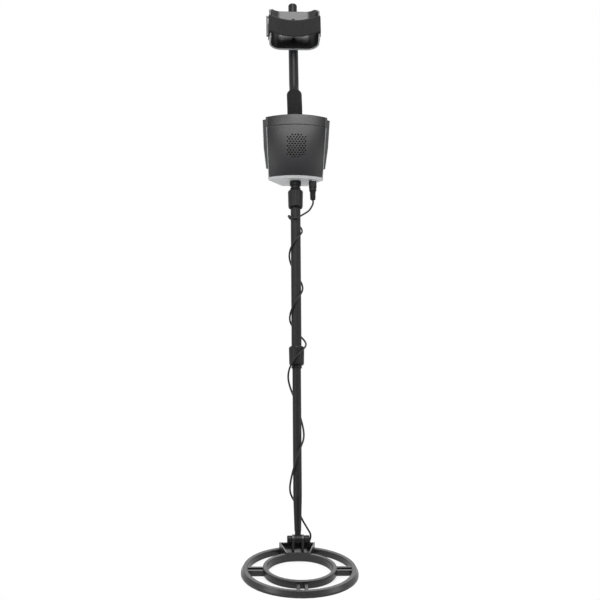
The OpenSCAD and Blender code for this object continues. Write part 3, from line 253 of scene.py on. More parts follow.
girth = add(
    sleeve_tree,
    "ShaderNodeMapRange",
    {
        "Value": add(sleeve_tree, "ShaderNodeSeparateXYZ", {0: position}).outputs["Z"],
        "From Min": 0.0,
        "From Max": given["Length"],
        "To Min": given["Base radius"],
        "To Max": given["Tip radius"],
    },
)
rib_depth = add(sleeve_tree, "ShaderNodeMath", {0: pitch, 1: RIB_DEPTH}, operation="MULTIPLY")
ribs = add(
    sleeve_tree,
    "GeometryNodeInstanceOnPoints",
    {
        "Points": stations,
        "Instance": add(
            sleeve_tree,
            "GeometryNodeMeshCylinder",
            {"Vertices": SLEEVE_SIDES, "Radius": 1.0, "Depth": rib_depth},
        ),
        "Scale": add(sleeve_tree, "ShaderNodeCombineXYZ", {"X": girth, "Y": girth, "Z": 1.0}),
    },
)
both = add(sleeve_tree, "GeometryNodeJoinGeometry", {"Geometry": core})
sleeve_tree.links.new(ribs.outputs["Instances"], both.inputs["Geometry"])
finish_tree(sleeve_tree, both, given["Material"])

joints = {joint["name"]: joint for joint in frame["joints"]}
hinge_at = Vector(joints["coil_tilt"]["pos_m"])
GLAND_FROM_HINGE = Vector((21.5, 12.0, -22.5))
GLAND_LENGTH = 12.0
gland = grow(
    "gland_sleeve",
    sleeve_tree,
    {
        "Length": GLAND_LENGTH * MM,
        "Base radius": 4.5 * MM,
        "Tip radius": 3 * MM,
        "Ribs": 5,
        "Material": rubber,
    },
    Matrix.Translation(hinge_at + GLAND_FROM_HINGE * MM),
    "coil",
)
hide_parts("lead_gland")

# Yoke
# The tongue of the stem's tip stands between two ears on the tray, with a rubber washer on each side.
# A nylon bolt with a ribbed head and a ribbed nut clamp it, so that the coil stays where it is tilted.

# Black nylon: a deep black with a soft, weak shine.
nylon = moulded("black_nylon", "#0c0c0e", "#141416", 0.5, 0.36, specular=0.2)
dress(nylon, "yoke_bolt", "yoke_nut", "stem_tip")

# Stem tubes
# Drawn aluminium tubes with a black satin coat, each a sliding fit in the next.
# A pale nylon bush on the end of the lower tube keeps it from rattling.

STEM_LEAN = math.radians(26)
MARK_MM = 2.5
MARK_SHAPE = (1.0, 1.0, 0.05)
SPECK_MM = 0.6


def coated(name, dark, pale, roughness):
    """A satin coat on metal: smooth, with faint long marks from handling, and specks drawn coarse to show."""
    material, tree, at = new_material(name)
    along = add(
        tree, "ShaderNodeMapping", {"Vector": at, "Rotation": (STEM_LEAN, 0.0, 0.0), "Scale": MARK_SHAPE}
    )
    marks = add(tree, "ShaderNodeTexNoise", {"Vector": along, "Scale": 1 / (MARK_MM * MM), "Detail": 4.0})
    specks = add(tree, "ShaderNodeTexNoise", {"Vector": at, "Scale": 1 / (SPECK_MM * MM), "Detail": 1.0})
    dulling = {"Value": marks, "To Min": roughness - 0.06, "To Max": roughness + 0.08, **NOISE_RANGE}
    skin = add(
        tree,
        "ShaderNodeBsdfPrincipled",
        {
            "Base Color": add(
                tree, "ShaderNodeMix", {0: marks, 6: linear(dark), 7: linear(pale)}, data_type="RGBA"
            ),
            "Roughness": add(tree, "ShaderNodeMapRange", dulling),
            "Normal": add(
                tree, "ShaderNodeBump", {"Height": specks, "Strength": 0.12, "Distance": 0.04 * MM}
            ),
            "Specular IOR Level": 0.18,
        },
    )
    add(tree, "ShaderNodeOutputMaterial", {"Surface": skin})
    return material


# Black satin coat: a dark tube with one soft streak of light along it.
satin_coat = coated("black_satin_coat", "#141416", "#1d1d1f", 0.38)
dress(satin_coat, "lower_tube", "middle_tube", "inner_tube", "handle_tube")

# Natural nylon: milky and a little yellow, with a waxy shine.
bush_nylon = moulded("natural_nylon", "#cfccc2", "#d9d6cc", 0.6, 0.4)
dress(bush_nylon, "guide_bush")

# Twist locks
# A split acetal collet on each end of the middle tube, squeezed on to the sliding tube by a fluted nut.
# The collar under the box and the plug in the tube's end are the same black acetal.

# Black acetal: as black as the nylon, with a weak shine on the crests of the flutes.
acetal = moulded("black_acetal", "#0c0c0e", "#141416", 0.6, 0.36, specular=0.2)
dress(acetal, "lower_collet", "upper_collet", "lower_lock_nut", "upper_lock_nut")
dress(acetal, "stem_collar", "tube_end_plug")

# Foam grip
# A sleeve of closed-cell foam, stretched over the bend of the handle tube.
# It is cut square and skinned over, so its ends are rounded.

stem_up = Vector(joints["middle_slide"]["axis"])
stem_back = Vector((0.0, stem_up.z, -stem_up.y))


def on_stem(x, d, s):
    """A point x to the right of the stem, d behind it and s above the hinge, in millimetres."""
    return hinge_at + (Vector((x, 0.0, 0.0)) + stem_back * d + stem_up * s) * MM


def add_piece(name, points, faces, material):
    """A new smooth mesh."""
    mesh = bpy.data.meshes.new(name)
    mesh.from_pydata([tuple(p) for p in points], [], faces)
    mesh.materials.append(material)
    mesh.shade_smooth()
    piece = bpy.data.objects.new(name, mesh)
    bpy.context.collection.objects.link(piece)
    return piece


def skin_faces(rings, sides):
    """The four-sided faces between rings of points."""
    return [
        (i * sides + j, i * sides + (j + 1) % sides, (i + 1) * sides + (j + 1) % sides, (i + 1) * sides + j)
        for i in range(rings - 1)
        for j in range(sides)
    ]


BEND_S = 811.13
BEND_R = 80.0
GRIP_BEND = math.radians(24)
GRIP_LOW = 25.0
GRIP_HIGH = 31.0
GRIP_R = 14.8
GRIP_ROUND = 5.5
GRIP_RIPPLE = 0.1
RIPPLE_TURN = 1.7
GRIP_STEPS = 40
GRIP_SIDES = 56
BORE_STEPS = 30
TUBE_R = 9.6


def handle_place(t):
    """Height, depth and turn of the handle tube's middle, t millimetres above the grip's lower end."""
    turn = min(max((t - GRIP_LOW) / BEND_R, 0.0), GRIP_BEND)
    past = max(t - GRIP_LOW - BEND_R * GRIP_BEND, 0.0)
    s = BEND_S + min(t - GRIP_LOW, 0.0) + BEND_R * math.sin(turn) + past * math.cos(turn)
    return s, BEND_R * (1 - math.cos(turn)) + past * math.sin(turn), turn


grip_length = GRIP_LOW + BEND_R * GRIP_BEND + GRIP_HIGH
foam_end = [(0.0, TUBE_R)] + [
    (GRIP_ROUND * (1 - math.cos(a)), GRIP_R - GRIP_ROUND + GRIP_ROUND * math.sin(a))
    for a in [math.pi / 16 * i for i in range(9)]
]
between_ends = grip_length - 2 * GRIP_ROUND
sleeve = foam_end + [
    (
        GRIP_ROUND + between_ends * i / GRIP_STEPS,
        GRIP_R - GRIP_RIPPLE + GRIP_RIPPLE * math.cos(RIPPLE_TURN * i),
    )
    for i in range(1, GRIP_STEPS)
]
sleeve += [(grip_length - t, r) for t, r in reversed(foam_end)]
sleeve += [(grip_length * (1 - i / BORE_STEPS), TUBE_R) for i in range(1, BORE_STEPS + 1)]
grip_points = []
for t, r in sleeve:
    s, d, turn = handle_place(t)
    for j in range(GRIP_SIDES):
        a = 2 * math.pi * j / GRIP_SIDES
        side = -r * math.sin(a)
        grip_points.append(on_stem(r * math.cos(a), d + side * math.cos(turn), s - side * math.sin(turn)))

# Closed-cell foam: a dull skin with small open pores, which swallows most of the light.
PORE_MM = 1.4
MOTTLE_MM = 9.0
foam, tree, at = new_material("closed_cell_foam")
pores = add(tree, "ShaderNodeTexVoronoi", {"Vector": at, "Scale": 1 / (PORE_MM * MM)})
mottle = add(tree, "ShaderNodeTexNoise", {"Vector": at, "Scale": 1 / (MOTTLE_MM * MM), "Detail": 4.0})
skin = add(
    tree,
    "ShaderNodeBsdfPrincipled",
    {
        "Base Color": add(
            tree, "ShaderNodeMix", {0: mottle, 6: linear("#161617"), 7: linear("#202021")}, data_type="RGBA"
        ),
        "Roughness": 0.9,
        "Specular IOR Level": 0.15,
        "Normal": add(tree, "ShaderNodeBump", {"Height": pores, "Strength": 0.5, "Distance": 0.25 * MM}),
    },
)
add(tree, "ShaderNodeOutputMaterial", {"Surface": skin})
grip = add_piece("grip_sleeve", grip_points, skin_faces(len(sleeve), GRIP_SIDES), foam)
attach(grip, "handle")
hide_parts("foam_grip")

# Arm cup
# One moulded ABS channel, open to the front with a painted highlight along its front edge, bolted through the
# upper end of the handle tube.
# Its bolts, nuts and rivets are coated black; the small hardware of the box is zinc-plated steel.

ARM_BEND = math.radians(15)
BARE_LEG = 4.0
ARM_LEG = 69.0
# Width of the painted highlight along the cup's front edge, in millimetres.
HIGHLIGHT_MM = 2.0

foot_s, foot_d, foot_turn = handle_place(grip_length + BARE_LEG)
arm_turn = foot_turn - ARM_BEND
arm_s = foot_s + BEND_R * (math.sin(foot_turn) - math.sin(arm_turn))
arm_d = foot_d + BEND_R * (math.cos(arm_turn) - math.cos(foot_turn))


def on_arm(x, y, z):
    """A point in the arm cup: x to the right, y behind the tube and z up along it, in millimetres."""
    back, up = math.cos(arm_turn), math.sin(arm_turn)
    return on_stem(x, arm_d + y * back + z * up, arm_s - y * up + z * back)


arm_back = (on_arm(0, 1, 0) - on_arm(0, 0, 0)) / MM
arm_up = (on_arm(0, 0, 1) - on_arm(0, 0, 0)) / MM


def front_edge_highlight(tree, at):
    """Where the highlight is painted: 1 along the cup's front edge, 0 elsewhere."""
    edge = on_arm(0, 0, ARM_LEG)
    from_edge = add(tree, "ShaderNodeVectorMath", {0: at, 1: edge}, operation="SUBTRACT")
    inward = add(tree, "ShaderNodeVectorMath", {0: from_edge, 1: arm_up}, operation="DOT_PRODUCT")
    ends = {"Value": inward, "From Min": HIGHLIGHT_MM * MM, "From Max": 0.8 * HIGHLIGHT_MM * MM}
    return add(tree, "ShaderNodeMapRange", ends)


# Black ABS of the cup: blacker than the coil's, with softer edges and a pale painted highlight along its
# front edge.
cup_abs = moulded("black_abs_cup", "#0b0b0d", "#131315", 0.8, 0.3, edge_mm=1.4, painted_highlight=(front_edge_highlight, "#8c8d8f"))
dress(cup_abs, "arm_cup", "strap_loop")
dress(satin_coat, "cup_bolts", "cup_nuts", "strap_rivets")

# Zinc-plated steel: bright, with a grey bloom that dulls it in patches.
BLOOM_MM = 1.5
zinc, tree, at = new_material("zinc_plated_steel")
bloom = add(tree, "ShaderNodeTexNoise", {"Vector": at, "Scale": 1 / (BLOOM_MM * MM), "Detail": 5.0})
skin = add(
    tree,
    "ShaderNodeBsdfPrincipled",
    {
        "Base Color": add(
            tree, "ShaderNodeMix", {0: bloom, 6: linear("#8c8d90"), 7: linear("#a9aaac")}, data_type="RGBA"
        ),
        "Metallic": 1.0,
        "Roughness": add(
            tree, "ShaderNodeMapRange", {"Value": bloom, "To Min": 0.28, "To Max": 0.45, **NOISE_RANGE}
        ),
    },
)
add(tree, "ShaderNodeOutputMaterial", {"Surface": skin})
dress(zinc, "housing_screws", "panel_screws", "potentiometers", "speaker_basket")

# Arm strap
# Woven nylon webbing, riveted outside the right wall, slack across the cup, led through a loop on the left.
# Each free end is folded and stitched.

CUP_HALF = 46.5
CUP_WALL = 3.0
WALL_TOP = 59.0
STRAP_T = 1.6
STRAP_W = 38.0
STRAP_SAG = 18.0
STRAP_MID = ARM_LEG + 30.0
STRAP_END = 28.0
STRAP_GAP = 0.3
SLACK_STEPS = 24
FOLD_STEPS = 12
END_STEPS = 10
STRANDS = 12
SELVEDGE = 0.7

strap_x = CUP_HALF + CUP_WALL + STRAP_GAP + STRAP_T / 2
fold_r = CUP_WALL / 2 + STRAP_GAP + STRAP_T / 2
fold_x = CUP_HALF + CUP_WALL / 2
fold_turn = math.pi / 2 + math.atan(2 * STRAP_SAG / CUP_HALF)
slack_x = fold_x + fold_r * math.cos(fold_turn)
slack_y = WALL_TOP + fold_r * math.sin(fold_turn)
half = [
    (slack_x * i / SLACK_STEPS, slack_y - STRAP_SAG * (1 - (i / SLACK_STEPS) ** 2))
    for i in range(SLACK_STEPS)
]
for i in range(FOLD_STEPS, -1, -1):
    a = fold_turn * i / FOLD_STEPS
    half.append((fold_x + fold_r * math.cos(a), WALL_TOP + fold_r * math.sin(a)))
half += [(strap_x, WALL_TOP + (STRAP_END - WALL_TOP) * i / END_STEPS) for i in range(1, END_STEPS + 1)]
middle = [(-x, y) for x, y in reversed(half[1:])] + half
run = [0.0]
for a, b in zip(middle, middle[1:]):
    run.append(run[-1] + math.dist(a, b))

round_strap = [(1, k) for k in range(STRANDS + 1)] + [(-1, k) for k in range(STRANDS, -1, -1)]
strap_points = []
strap_uvs = []
for i, (x, y) in enumerate(middle):
    a = Vector(middle[max(i - 1, 0)])
    b = Vector(middle[min(i + 1, len(middle) - 1)])
    tangent = (b - a).normalized()
    out = Vector((-tangent.y, tangent.x)) * STRAP_T / 2
    for face, k in round_strap:
        thick = face * (SELVEDGE if k in (0, STRANDS) else 1.0)
        across = STRAP_W * k / STRANDS
        strap_points.append(on_arm(x + out.x * thick, -y - out.y * thick, STRAP_MID - STRAP_W / 2 + across))
        strap_uvs.append((run[i], across))
strap_ring = len(round_strap)
strap_faces = skin_faces(len(middle), strap_ring)
strap_faces.append(tuple(range(strap_ring - 1, -1, -1)))
strap_faces.append(tuple(range((len(middle) - 1) * strap_ring, len(middle) * strap_ring)))

# Nylon webbing: a plain weave of thick soft yarn, drawn at twice its real size so that it shows.
# Its colour is darker where the yarns sink, painted shade, and paler where their crests cross, a painted
# highlight.
WARP_MM = 0.98
WEFT_MM = 1.21
webbing, tree, at = new_material("woven_nylon_webbing")
weave_at = add(tree, "ShaderNodeUVMap", uv_map="strap_mm")
yarns = [
    add(
        tree,
        "ShaderNodeTexWave",
        {"Vector": weave_at, "Scale": WAVE / (2 * yarn_mm), "Distortion": 0.6},
        bands_direction=across,
    ).outputs["Fac"]
    for yarn_mm, across in ((WARP_MM, "Y"), (WEFT_MM, "X"))
]
weave_with_painted_shade = add(tree, "ShaderNodeMath", {0: yarns[0], 1: yarns[1]}, operation="MULTIPLY")
skin = add(
    tree,
    "ShaderNodeBsdfPrincipled",
    {
        # Painted shade between the yarns, and a painted highlight on their crossings.
        "Base Color": add(
            tree, "ShaderNodeMix", {0: weave_with_painted_shade, 6: linear("#151516"), 7: linear("#2b2b2d")}, data_type="RGBA"
        ),
        "Roughness": 0.82,
        "Specular IOR Level": 0.2,
        "Sheen Weight": 0.12,
        "Normal": add(tree, "ShaderNodeBump", {"Height": weave_with_painted_shade, "Strength": 0.7, "Distance": 0.4 * MM}),
    },
)
add(tree, "ShaderNodeOutputMaterial", {"Surface": skin})
strap = add_piece("arm_webbing", strap_points, strap_faces, webbing)
strap_map = strap.data.uv_layers.new(name="strap_mm")
for corner in strap.data.loops:
    strap_map.data[corner.index].uv = strap_uvs[corner.vertex_index]
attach(strap, "handle")
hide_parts("arm_strap")

stitch_tree, given = new_tree(
    "stitch_row",
    {"Count": "Int", "Pitch": "Float", "Length": "Float", "Thread": "Float", "Material": "Material"},
)
step = add(stitch_tree, "ShaderNodeCombineXYZ", {"Z": given["Pitch"]})
holes = add(stitch_tree, "GeometryNodeMeshLine", {"Count": given["Count"], "Offset": step})
stitch = add(
    stitch_tree,
    "GeometryNodeMeshCylinder",
    {"Vertices": 8, "Radius": given["Thread"], "Depth": given["Length"]},
)
row = add(stitch_tree, "GeometryNodeInstanceOnPoints", {"Points": holes, "Instance": stitch})
finish_tree(stitch_tree, row, given["Material"])

# Nylon thread: paler than the webbing, so that the rows of stitches show.
thread = moulded("nylon_thread", "#4a4a4c", "#565658", 0.4, 0.6)
STITCHES = 9
STITCH_PITCH = 3.8
rows = []
for side, depth in ((-1, 31.0), (-1, 46.0), (1, 31.0), (1, 41.0)):
    at = on_arm(side * (strap_x + STRAP_T / 2), -depth, STRAP_MID - STITCH_PITCH * (STITCHES - 1) / 2)
    place = Matrix.Translation(at) @ Matrix((Vector((1, 0, 0)), arm_back, arm_up)).transposed().to_4x4()
    stitching = {
        "Count": STITCHES,
        "Pitch": STITCH_PITCH * MM,
        "Length": 2.6 * MM,
        "Thread": 0.35 * MM,
        "Material": thread,
    }
    rows.append(grow(f"stitches_{len(rows) + 1}", stitch_tree, stitching, place, "handle"))

# Control box
# A pale grey ABS body and rear cover, screwed together round the stem.
# The bulged front with the loudspeaker's grille and the bezel on top are charcoal, with a coarser grain.

# Grey ABS: pale and satin, which sets the dark front off.
grey_abs = moulded("grey_abs", "#a6a7a8", "#b1b2b3", 0.7, 0.36, specular=0.4)
dress(grey_abs, "box_body", "rear_cover")

BOX_S = 683.0
BOX_RAKE = math.radians(23)
CROWN = 2.6
CROWN_S = 15.0
CROWN_HALF = 55.0
CROWN_EDGE = 0.25
box_up = stem_up * math.cos(BOX_RAKE) - stem_back * math.sin(BOX_RAKE)


def front_crown(tree, at):
    """The front's slight bow up and down, strongest along its middle, as a height in metres."""
    middle = on_stem(0, 0, BOX_S + CROWN_S)
    from_middle = add(tree, "ShaderNodeVectorMath", {0: at, 1: middle}, operation="SUBTRACT")
    rise = add(tree, "ShaderNodeVectorMath", {0: from_middle, 1: box_up}, operation="DOT_PRODUCT")
    aside = add(tree, "ShaderNodeSeparateXYZ", {0: at}).outputs["X"]
    fade = {
        "Value": add(tree, "ShaderNodeMath", {0: aside, 1: aside}, operation="MULTIPLY"),
        "From Max": (CROWN_HALF * MM) ** 2,
        "To Min": -CROWN,
        "To Max": -CROWN_EDGE * CROWN,
    }
    bow = add(tree, "ShaderNodeMapRange", fade)
    rise_squared = add(tree, "ShaderNodeMath", {0: rise, 1: rise}, operation="MULTIPLY")
    return add(tree, "ShaderNodeMath", {0: rise_squared, 1: bow}, operation="MULTIPLY")


# Charcoal ABS: a dark grey with a coarse grain, paler where the bowed front turns up to the light.
charcoal_abs = moulded(
    "charcoal_abs", "#1c1c1e", "#242426", 1.1, 0.4, edge_mm=0.8, depth_mm=0.12, crown=front_crown
)
dress(charcoal_abs, "front_housing", "panel_bezel")

# Battery doors
# Two wedge-shaped sliding doors of black ABS, ridged for the thumb, on rails on the box's sides.

# Black ABS of the doors: a touch greyer than the front, and duller from use.
door_abs = moulded("black_abs_doors", "#2e2e30", "#39393b", 0.7, 0.45)
dress(door_abs, "left_battery_door", "right_battery_door")

# Control panel
# A dark anodised plate under the hand, with two knobs, a meter, a toggle switch and a lamp.
# The marks are printed in pale ink, and grown by a node tree.

# Dark anodised aluminium: slate grey, with an even, dull sheen.
panel_coat = coated("dark_anodised_plate", "#3a3b3e", "#434447", 0.42)
dress(panel_coat, "control_panel")

# Black ABS of the small fittings: smooth, with a clear shine on its edges.
knob_abs = moulded("black_abs_knobs", "#18181a", "#202022", 0.5, 0.35)
dress(knob_abs, "left_knob", "right_knob", "meter_case", "headphone_socket", "battery_snaps")

INK_MM = 0.06
mark_tree, given = new_tree(
    "arc_marks",
    {
        "Count": "Int",
        "Radius": "Float",
        "Sweep": "Float",
        "Length": "Float",
        "Width": "Float",
        "Material": "Material",
    },
)
number = add(mark_tree, "GeometryNodeInputIndex")
gaps = add(mark_tree, "ShaderNodeMath", {0: given["Count"], 1: 1.0}, operation="SUBTRACT")
passed = add(mark_tree, "ShaderNodeMath", {0: number, 1: gaps}, operation="DIVIDE")
share = add(mark_tree, "ShaderNodeMath", {0: passed, 1: 0.5}, operation="SUBTRACT")
angle = add(mark_tree, "ShaderNodeMath", {0: share, 1: given["Sweep"]}, operation="MULTIPLY")
sine = add(mark_tree, "ShaderNodeMath", {0: angle}, operation="SINE")
cosine = add(mark_tree, "ShaderNodeMath", {0: angle}, operation="COSINE")
inwards = add(mark_tree, "ShaderNodeMath", {0: given["Radius"], 1: -1.0}, operation="MULTIPLY")
spot = {
    "X": add(mark_tree, "ShaderNodeMath", {0: sine, 1: given["Radius"]}, operation="MULTIPLY"),
    "Y": add(mark_tree, "ShaderNodeMath", {0: cosine, 1: inwards}, operation="MULTIPLY"),
}
spots = add(
    mark_tree,
    "GeometryNodeSetPosition",
    {
        "Geometry": add(mark_tree, "GeometryNodeMeshLine", {"Count": given["Count"]}),
        "Position": add(mark_tree, "ShaderNodeCombineXYZ", spot),
    },
)
bar_size = add(
    mark_tree, "ShaderNodeCombineXYZ", {"X": given["Width"], "Y": given["Length"], "Z": INK_MM * MM}
)
marks = add(
    mark_tree,
    "GeometryNodeInstanceOnPoints",
    {
        "Points": spots,
        "Instance": add(mark_tree, "GeometryNodeMeshCube", {"Size": bar_size}),
        "Rotation": add(mark_tree, "ShaderNodeCombineXYZ", {"Z": angle}),
    },
)
finish_tree(mark_tree, marks, given["Material"])

PANEL_S = 105.0
KNOB_X = 33.2
KNOB_Y = 0.5
KNOB_FOOT = 1.3
KNOB_H = 7.4
LINE_LIFT = 0.1
METER_Y = -0.5


def on_panel(x, y, z):
    """A place on the panel, square to the stem, with z above its face, in millimetres."""
    at = on_stem(x, (y - PANEL_S * math.sin(BOX_RAKE)) / math.cos(BOX_RAKE), BOX_S + PANEL_S + z)
    return Matrix.Translation(at) @ Matrix((Vector((1, 0, 0)), stem_back, stem_up)).transposed().to_4x4()


# Printing ink: matt and even, in off-white on the panel and in soft black on the meter's card.
pale_ink = moulded("pale_ink", "#d2d2cf", "#dcdcd9", 0.5, 0.6)
black_ink = moulded("black_ink", "#1a1a1a", "#242424", 0.5, 0.7)
knob_scale = {
    "Count": 11,
    "Radius": 11.0 * MM,
    "Sweep": math.radians(300),
    "Length": 1.6 * MM,
    "Width": 0.5 * MM,
    "Material": pale_ink,
}
knob_line = {
    "Count": 2,
    "Radius": 4.9 * MM,
    "Sweep": 0.0,
    "Length": 4.4 * MM,
    "Width": 0.8 * MM,
    "Material": pale_ink,
}
for side, name in ((-1, "left"), (1, "right")):
    face = on_panel(side * KNOB_X, KNOB_Y, INK_MM / 2)
    grow(f"{name}_knob_scale", mark_tree, knob_scale, face, "handle")
    cap = on_panel(side * KNOB_X, KNOB_Y, KNOB_FOOT + KNOB_H + LINE_LIFT)
    grow(f"{name}_knob_line", mark_tree, knob_line, cap, f"{name}_knob")

# Meter
# A moving-coil meter in a black case: a card dial with a printed arc and a red needle.
# A clear acrylic window is let into the case over them.

# Card: a warm white, quite matt.
card = moulded("printed_card", "#e2dfd3", "#eae7db", 0.9, 0.75, specular=0.2)
dress(card, "meter_dial")

# Red paint: a clear, plain red that is easy to read against the card.
red_paint = moulded("red_paint", "#b5281c", "#bf3022", 0.5, 0.4)
dress(red_paint, "meter_needle")

NEEDLE_Y = 7.4
DIAL_Z = -4.0
dial_at = on_panel(0, METER_Y, DIAL_Z + INK_MM / 2) @ Matrix.Translation((0, NEEDLE_Y * MM, 0))
for name, count, radius, length, width in (
    ("fine", 41, 15.6, 1.0, 0.16),
    ("main", 9, 15.9, 1.8, 0.3),
    ("arc", 81, 15.0, 0.2, 0.5),
):
    scale = {
        "Count": count,
        "Radius": radius * MM,
        "Sweep": math.radians(80),
        "Length": length * MM,
        "Width": width * MM,
        "Material": black_ink,
    }
    grow(f"dial_{name}", mark_tree, scale, dial_at, "handle")

# Clear acrylic: it shows the dial, with a soft reflection of the sky.
HAZE_MM = 6.0
acrylic, tree, at = new_material("clear_acrylic")
haze = add(tree, "ShaderNodeTexNoise", {"Vector": at, "Scale": 1 / (HAZE_MM * MM), "Detail": 3.0})
skin = add(
    tree,
    "ShaderNodeBsdfPrincipled",
    {
        "Base Color": linear("#f2f5f6"),
        "Roughness": add(
            tree, "ShaderNodeMapRange", {"Value": haze, "To Min": 0.02, "To Max": 0.08, **NOISE_RANGE}
        ),
        "IOR": 1.49,
        "Transmission Weight": 1.0,
    },
)
add(tree, "ShaderNodeOutputMaterial", {"Surface": skin})
dress(acrylic, "meter_window")

# Switch, lamp and coil socket
# Hex nuts hold the toggle switch and the coil socket. Both are plated brass, and so is the switch's lever.
# The lamp is a moulded red lens, pushed up through the panel as far as its collar.

# Bright plating: a mirror with fine specks, which are drawn coarse to show.
PLATING_MM = 0.8
plating, tree, at = new_material("bright_plating")
specks = add(tree, "ShaderNodeTexNoise", {"Vector": at, "Scale": 1 / (PLATING_MM * MM), "Detail": 3.0})
skin = add(
    tree,
    "ShaderNodeBsdfPrincipled",
    {
        "Base Color": add(
            tree, "ShaderNodeMix", {0: specks, 6: linear("#b4b5b8"), 7: linear("#c6c7ca")}, data_type="RGBA"
        ),
        "Metallic": 1.0,
        "Roughness": add(
            tree, "ShaderNodeMapRange", {"Value": specks, "To Min": 0.12, "To Max": 0.3, **NOISE_RANGE}
        ),
    },
)
add(tree, "ShaderNodeOutputMaterial", {"Surface": skin})
dress(plating, "toggle_switch", "toggle_lever", "coil_socket")

# Red lens: a deep red with a sharp highlight.
red_lens = moulded("red_lamp_lens", "#a3160e", "#b01c12", 0.8, 0.15)
dress(red_lens, "power_lamp")

# Inside the box
# Circuit board, loudspeaker cone and two 9 V batteries, seen through the grille or with a door open.
# The board hangs under the potentiometers, the cone sits in its basket, and the batteries lie on shelves.

# Green laminate: the lacquered green of a circuit board.
board = moulded("green_laminate", "#1d5434", "#22603b", 0.8, 0.4)
dress(board, "circuit_board")

# Pressed paper: black and quite matt, so that the grille's holes look deep.
cone_paper = moulded("pressed_paper", "#1c1c1c", "#262625", 1.2, 0.9, specular=0.1)
dress(cone_paper, "speaker_cone")

# Printed battery can: a plain slate grey with a lacquered shine.
battery_can = moulded("printed_battery_can", "#5f6268", "#696c72", 0.9, 0.35)
dress(battery_can, "batteries")

# Coil lead
# A plug with a fluted coupling ring and a ribbed rubber boot, screwed to the socket under the box.
# From it a round PVC cable is wound down the stem to the gland on the coil.

dress(nylon, "coil_plug", "coupling_ring")
BOOT_S = 645.0
BOOT_LENGTH = 17.5
SOCKET_X = 33.0
SOCKET_Y = -7.0
boot_top = on_stem(SOCKET_X, SOCKET_Y, BOOT_S + BOOT_LENGTH)
boot_turn = Matrix((Vector((1, 0, 0)), -stem_back, -stem_up)).transposed().to_4x4()
boot = grow(
    "boot_sleeve",
    sleeve_tree,
    {
        "Length": BOOT_LENGTH * MM,
        "Base radius": 5.7 * MM,
        "Tip radius": 5.1 * MM,
        "Ribs": 7,
        "Material": rubber,
    },
    Matrix.Translation(boot_top) @ boot_turn,
    "handle",
)
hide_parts("plug_boot")

LEAD_D = 3.5
LEAD_SIDES = 14
LEAD_STEPS = 10
# Metres above the hinge, degrees round the stem from its front, and metres from the stem's middle
LEAD_ROUTE = [
    (0.645, 78.024, 0.033734),
    (0.637, 78.024, 0.033734),
    (0.624, 74, 0.027),
    (0.616, 62, 0.0174),
    (0.610, 30, 0.0126),
    (0.607, 0, 0.012),
    (0.610, -50, 0.0122),
    (0.614, -90, 0.0135),
    (0.605, -180, 0.012),
    (0.585, -270, 0.0122),
    (0.565, -360, 0.0119),
    (0.536, -450, 0.0125),
    (0.504, -540, 0.0119),
    (0.473, -630, 0.0124),
    (0.446, -720, 0.0119),
    (0.414, -810, 0.0124),
    (0.391, -900, 0.0122),
    (0.365, -990, 0.0176),
    (0.338, -1080, 0.0174),
    (0.299, -1170, 0.016),
    (0.250, -1260, 0.011),
    (0.193, -1350, 0.0125),
    (0.153, -1440, 0.0106),
    (0.094, -1530, 0.014),
    (0.061, -1620, 0.0108),
    (0.040, -1655, 0.013),
    (0.022, -1680, 0.020),
    (0.009, -1687, 0.026),
    (-0.00418, -1674.4, 0.02644),
]


def lead_station(i):
    """A station of the lead's route, which stays put beyond either end."""
    return Vector(LEAD_ROUTE[max(0, min(len(LEAD_ROUTE) - 1, i))])


def lead_point(t):
    """The lead's middle at t along its route: a smooth curve through the stations."""
    i = min(int(t), len(LEAD_ROUTE) - 2)
    u = t - i
    a, b, c, d = (lead_station(i + k) for k in (-1, 0, 1, 2))
    bend = (2 * a - 5 * b + 4 * c - d) * u * u + (3 * b - a - 3 * c + d) * u**3
    s, turn, r = 0.5 * (2 * b + (c - a) * u + bend)
    turn = math.radians(turn)
    return on_stem(r * math.sin(turn) / MM, -r * math.cos(turn) / MM, s / MM)


# Black PVC: a smooth dark cable with a weak shine.
pvc = moulded("black_pvc", "#0f0f10", "#171718", 1.5, 0.45, specular=0.3)
plug_pieces = [frame["nodes"]["coil_plug"], frame["nodes"]["coupling_ring"], boot]
for name, first, last, near, far, held, carried in (
    ("lead_upper", 0, 16, "handle", "middle_stem", 3, plug_pieces),
    ("lead_middle", 16, 19, "middle_stem", None, 19, []),
    ("lead_lower", 19, 24, "middle_stem", "lower_stem", 24, []),
    ("lead_tail", 24, 28, "lower_stem", "coil", 28, [gland]),
):
    path = [lead_point(first + i / LEAD_STEPS) for i in range((last - first) * LEAD_STEPS + 1)]
    points = []
    out = Vector((1.0, 0.0, 0.0))
    for i, p in enumerate(path):
        along = (path[min(i + 1, len(path) - 1)] - path[max(i - 1, 0)]).normalized()
        out = (out - along * out.dot(along)).normalized()
        for j in range(LEAD_SIDES):
            a = 2 * math.pi * j / LEAD_SIDES
            points.append(p + (out * math.cos(a) + along.cross(out) * math.sin(a)) * LEAD_D / 2 * MM)
    faces = skin_faces(len(path), LEAD_SIDES)
    faces.append(tuple(range(LEAD_SIDES - 1, -1, -1)))
    faces.append(tuple(range((len(path) - 1) * LEAD_SIDES, len(path) * LEAD_SIDES)))
    cable = add_piece(name + "_cable", points, faces, pvc)
    if far:
        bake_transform(cable)
    else:
        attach(cable, near)
    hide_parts(name)
    length = sum((b - a).length for a, b in zip(path, path[1:]))

# Studio
# A white seamless floor, soft light from above, both sides and the back, and the camera in front of the coil.
# Glossy rays see the same white, except towards the camera, where the room is dim, so black stays black.

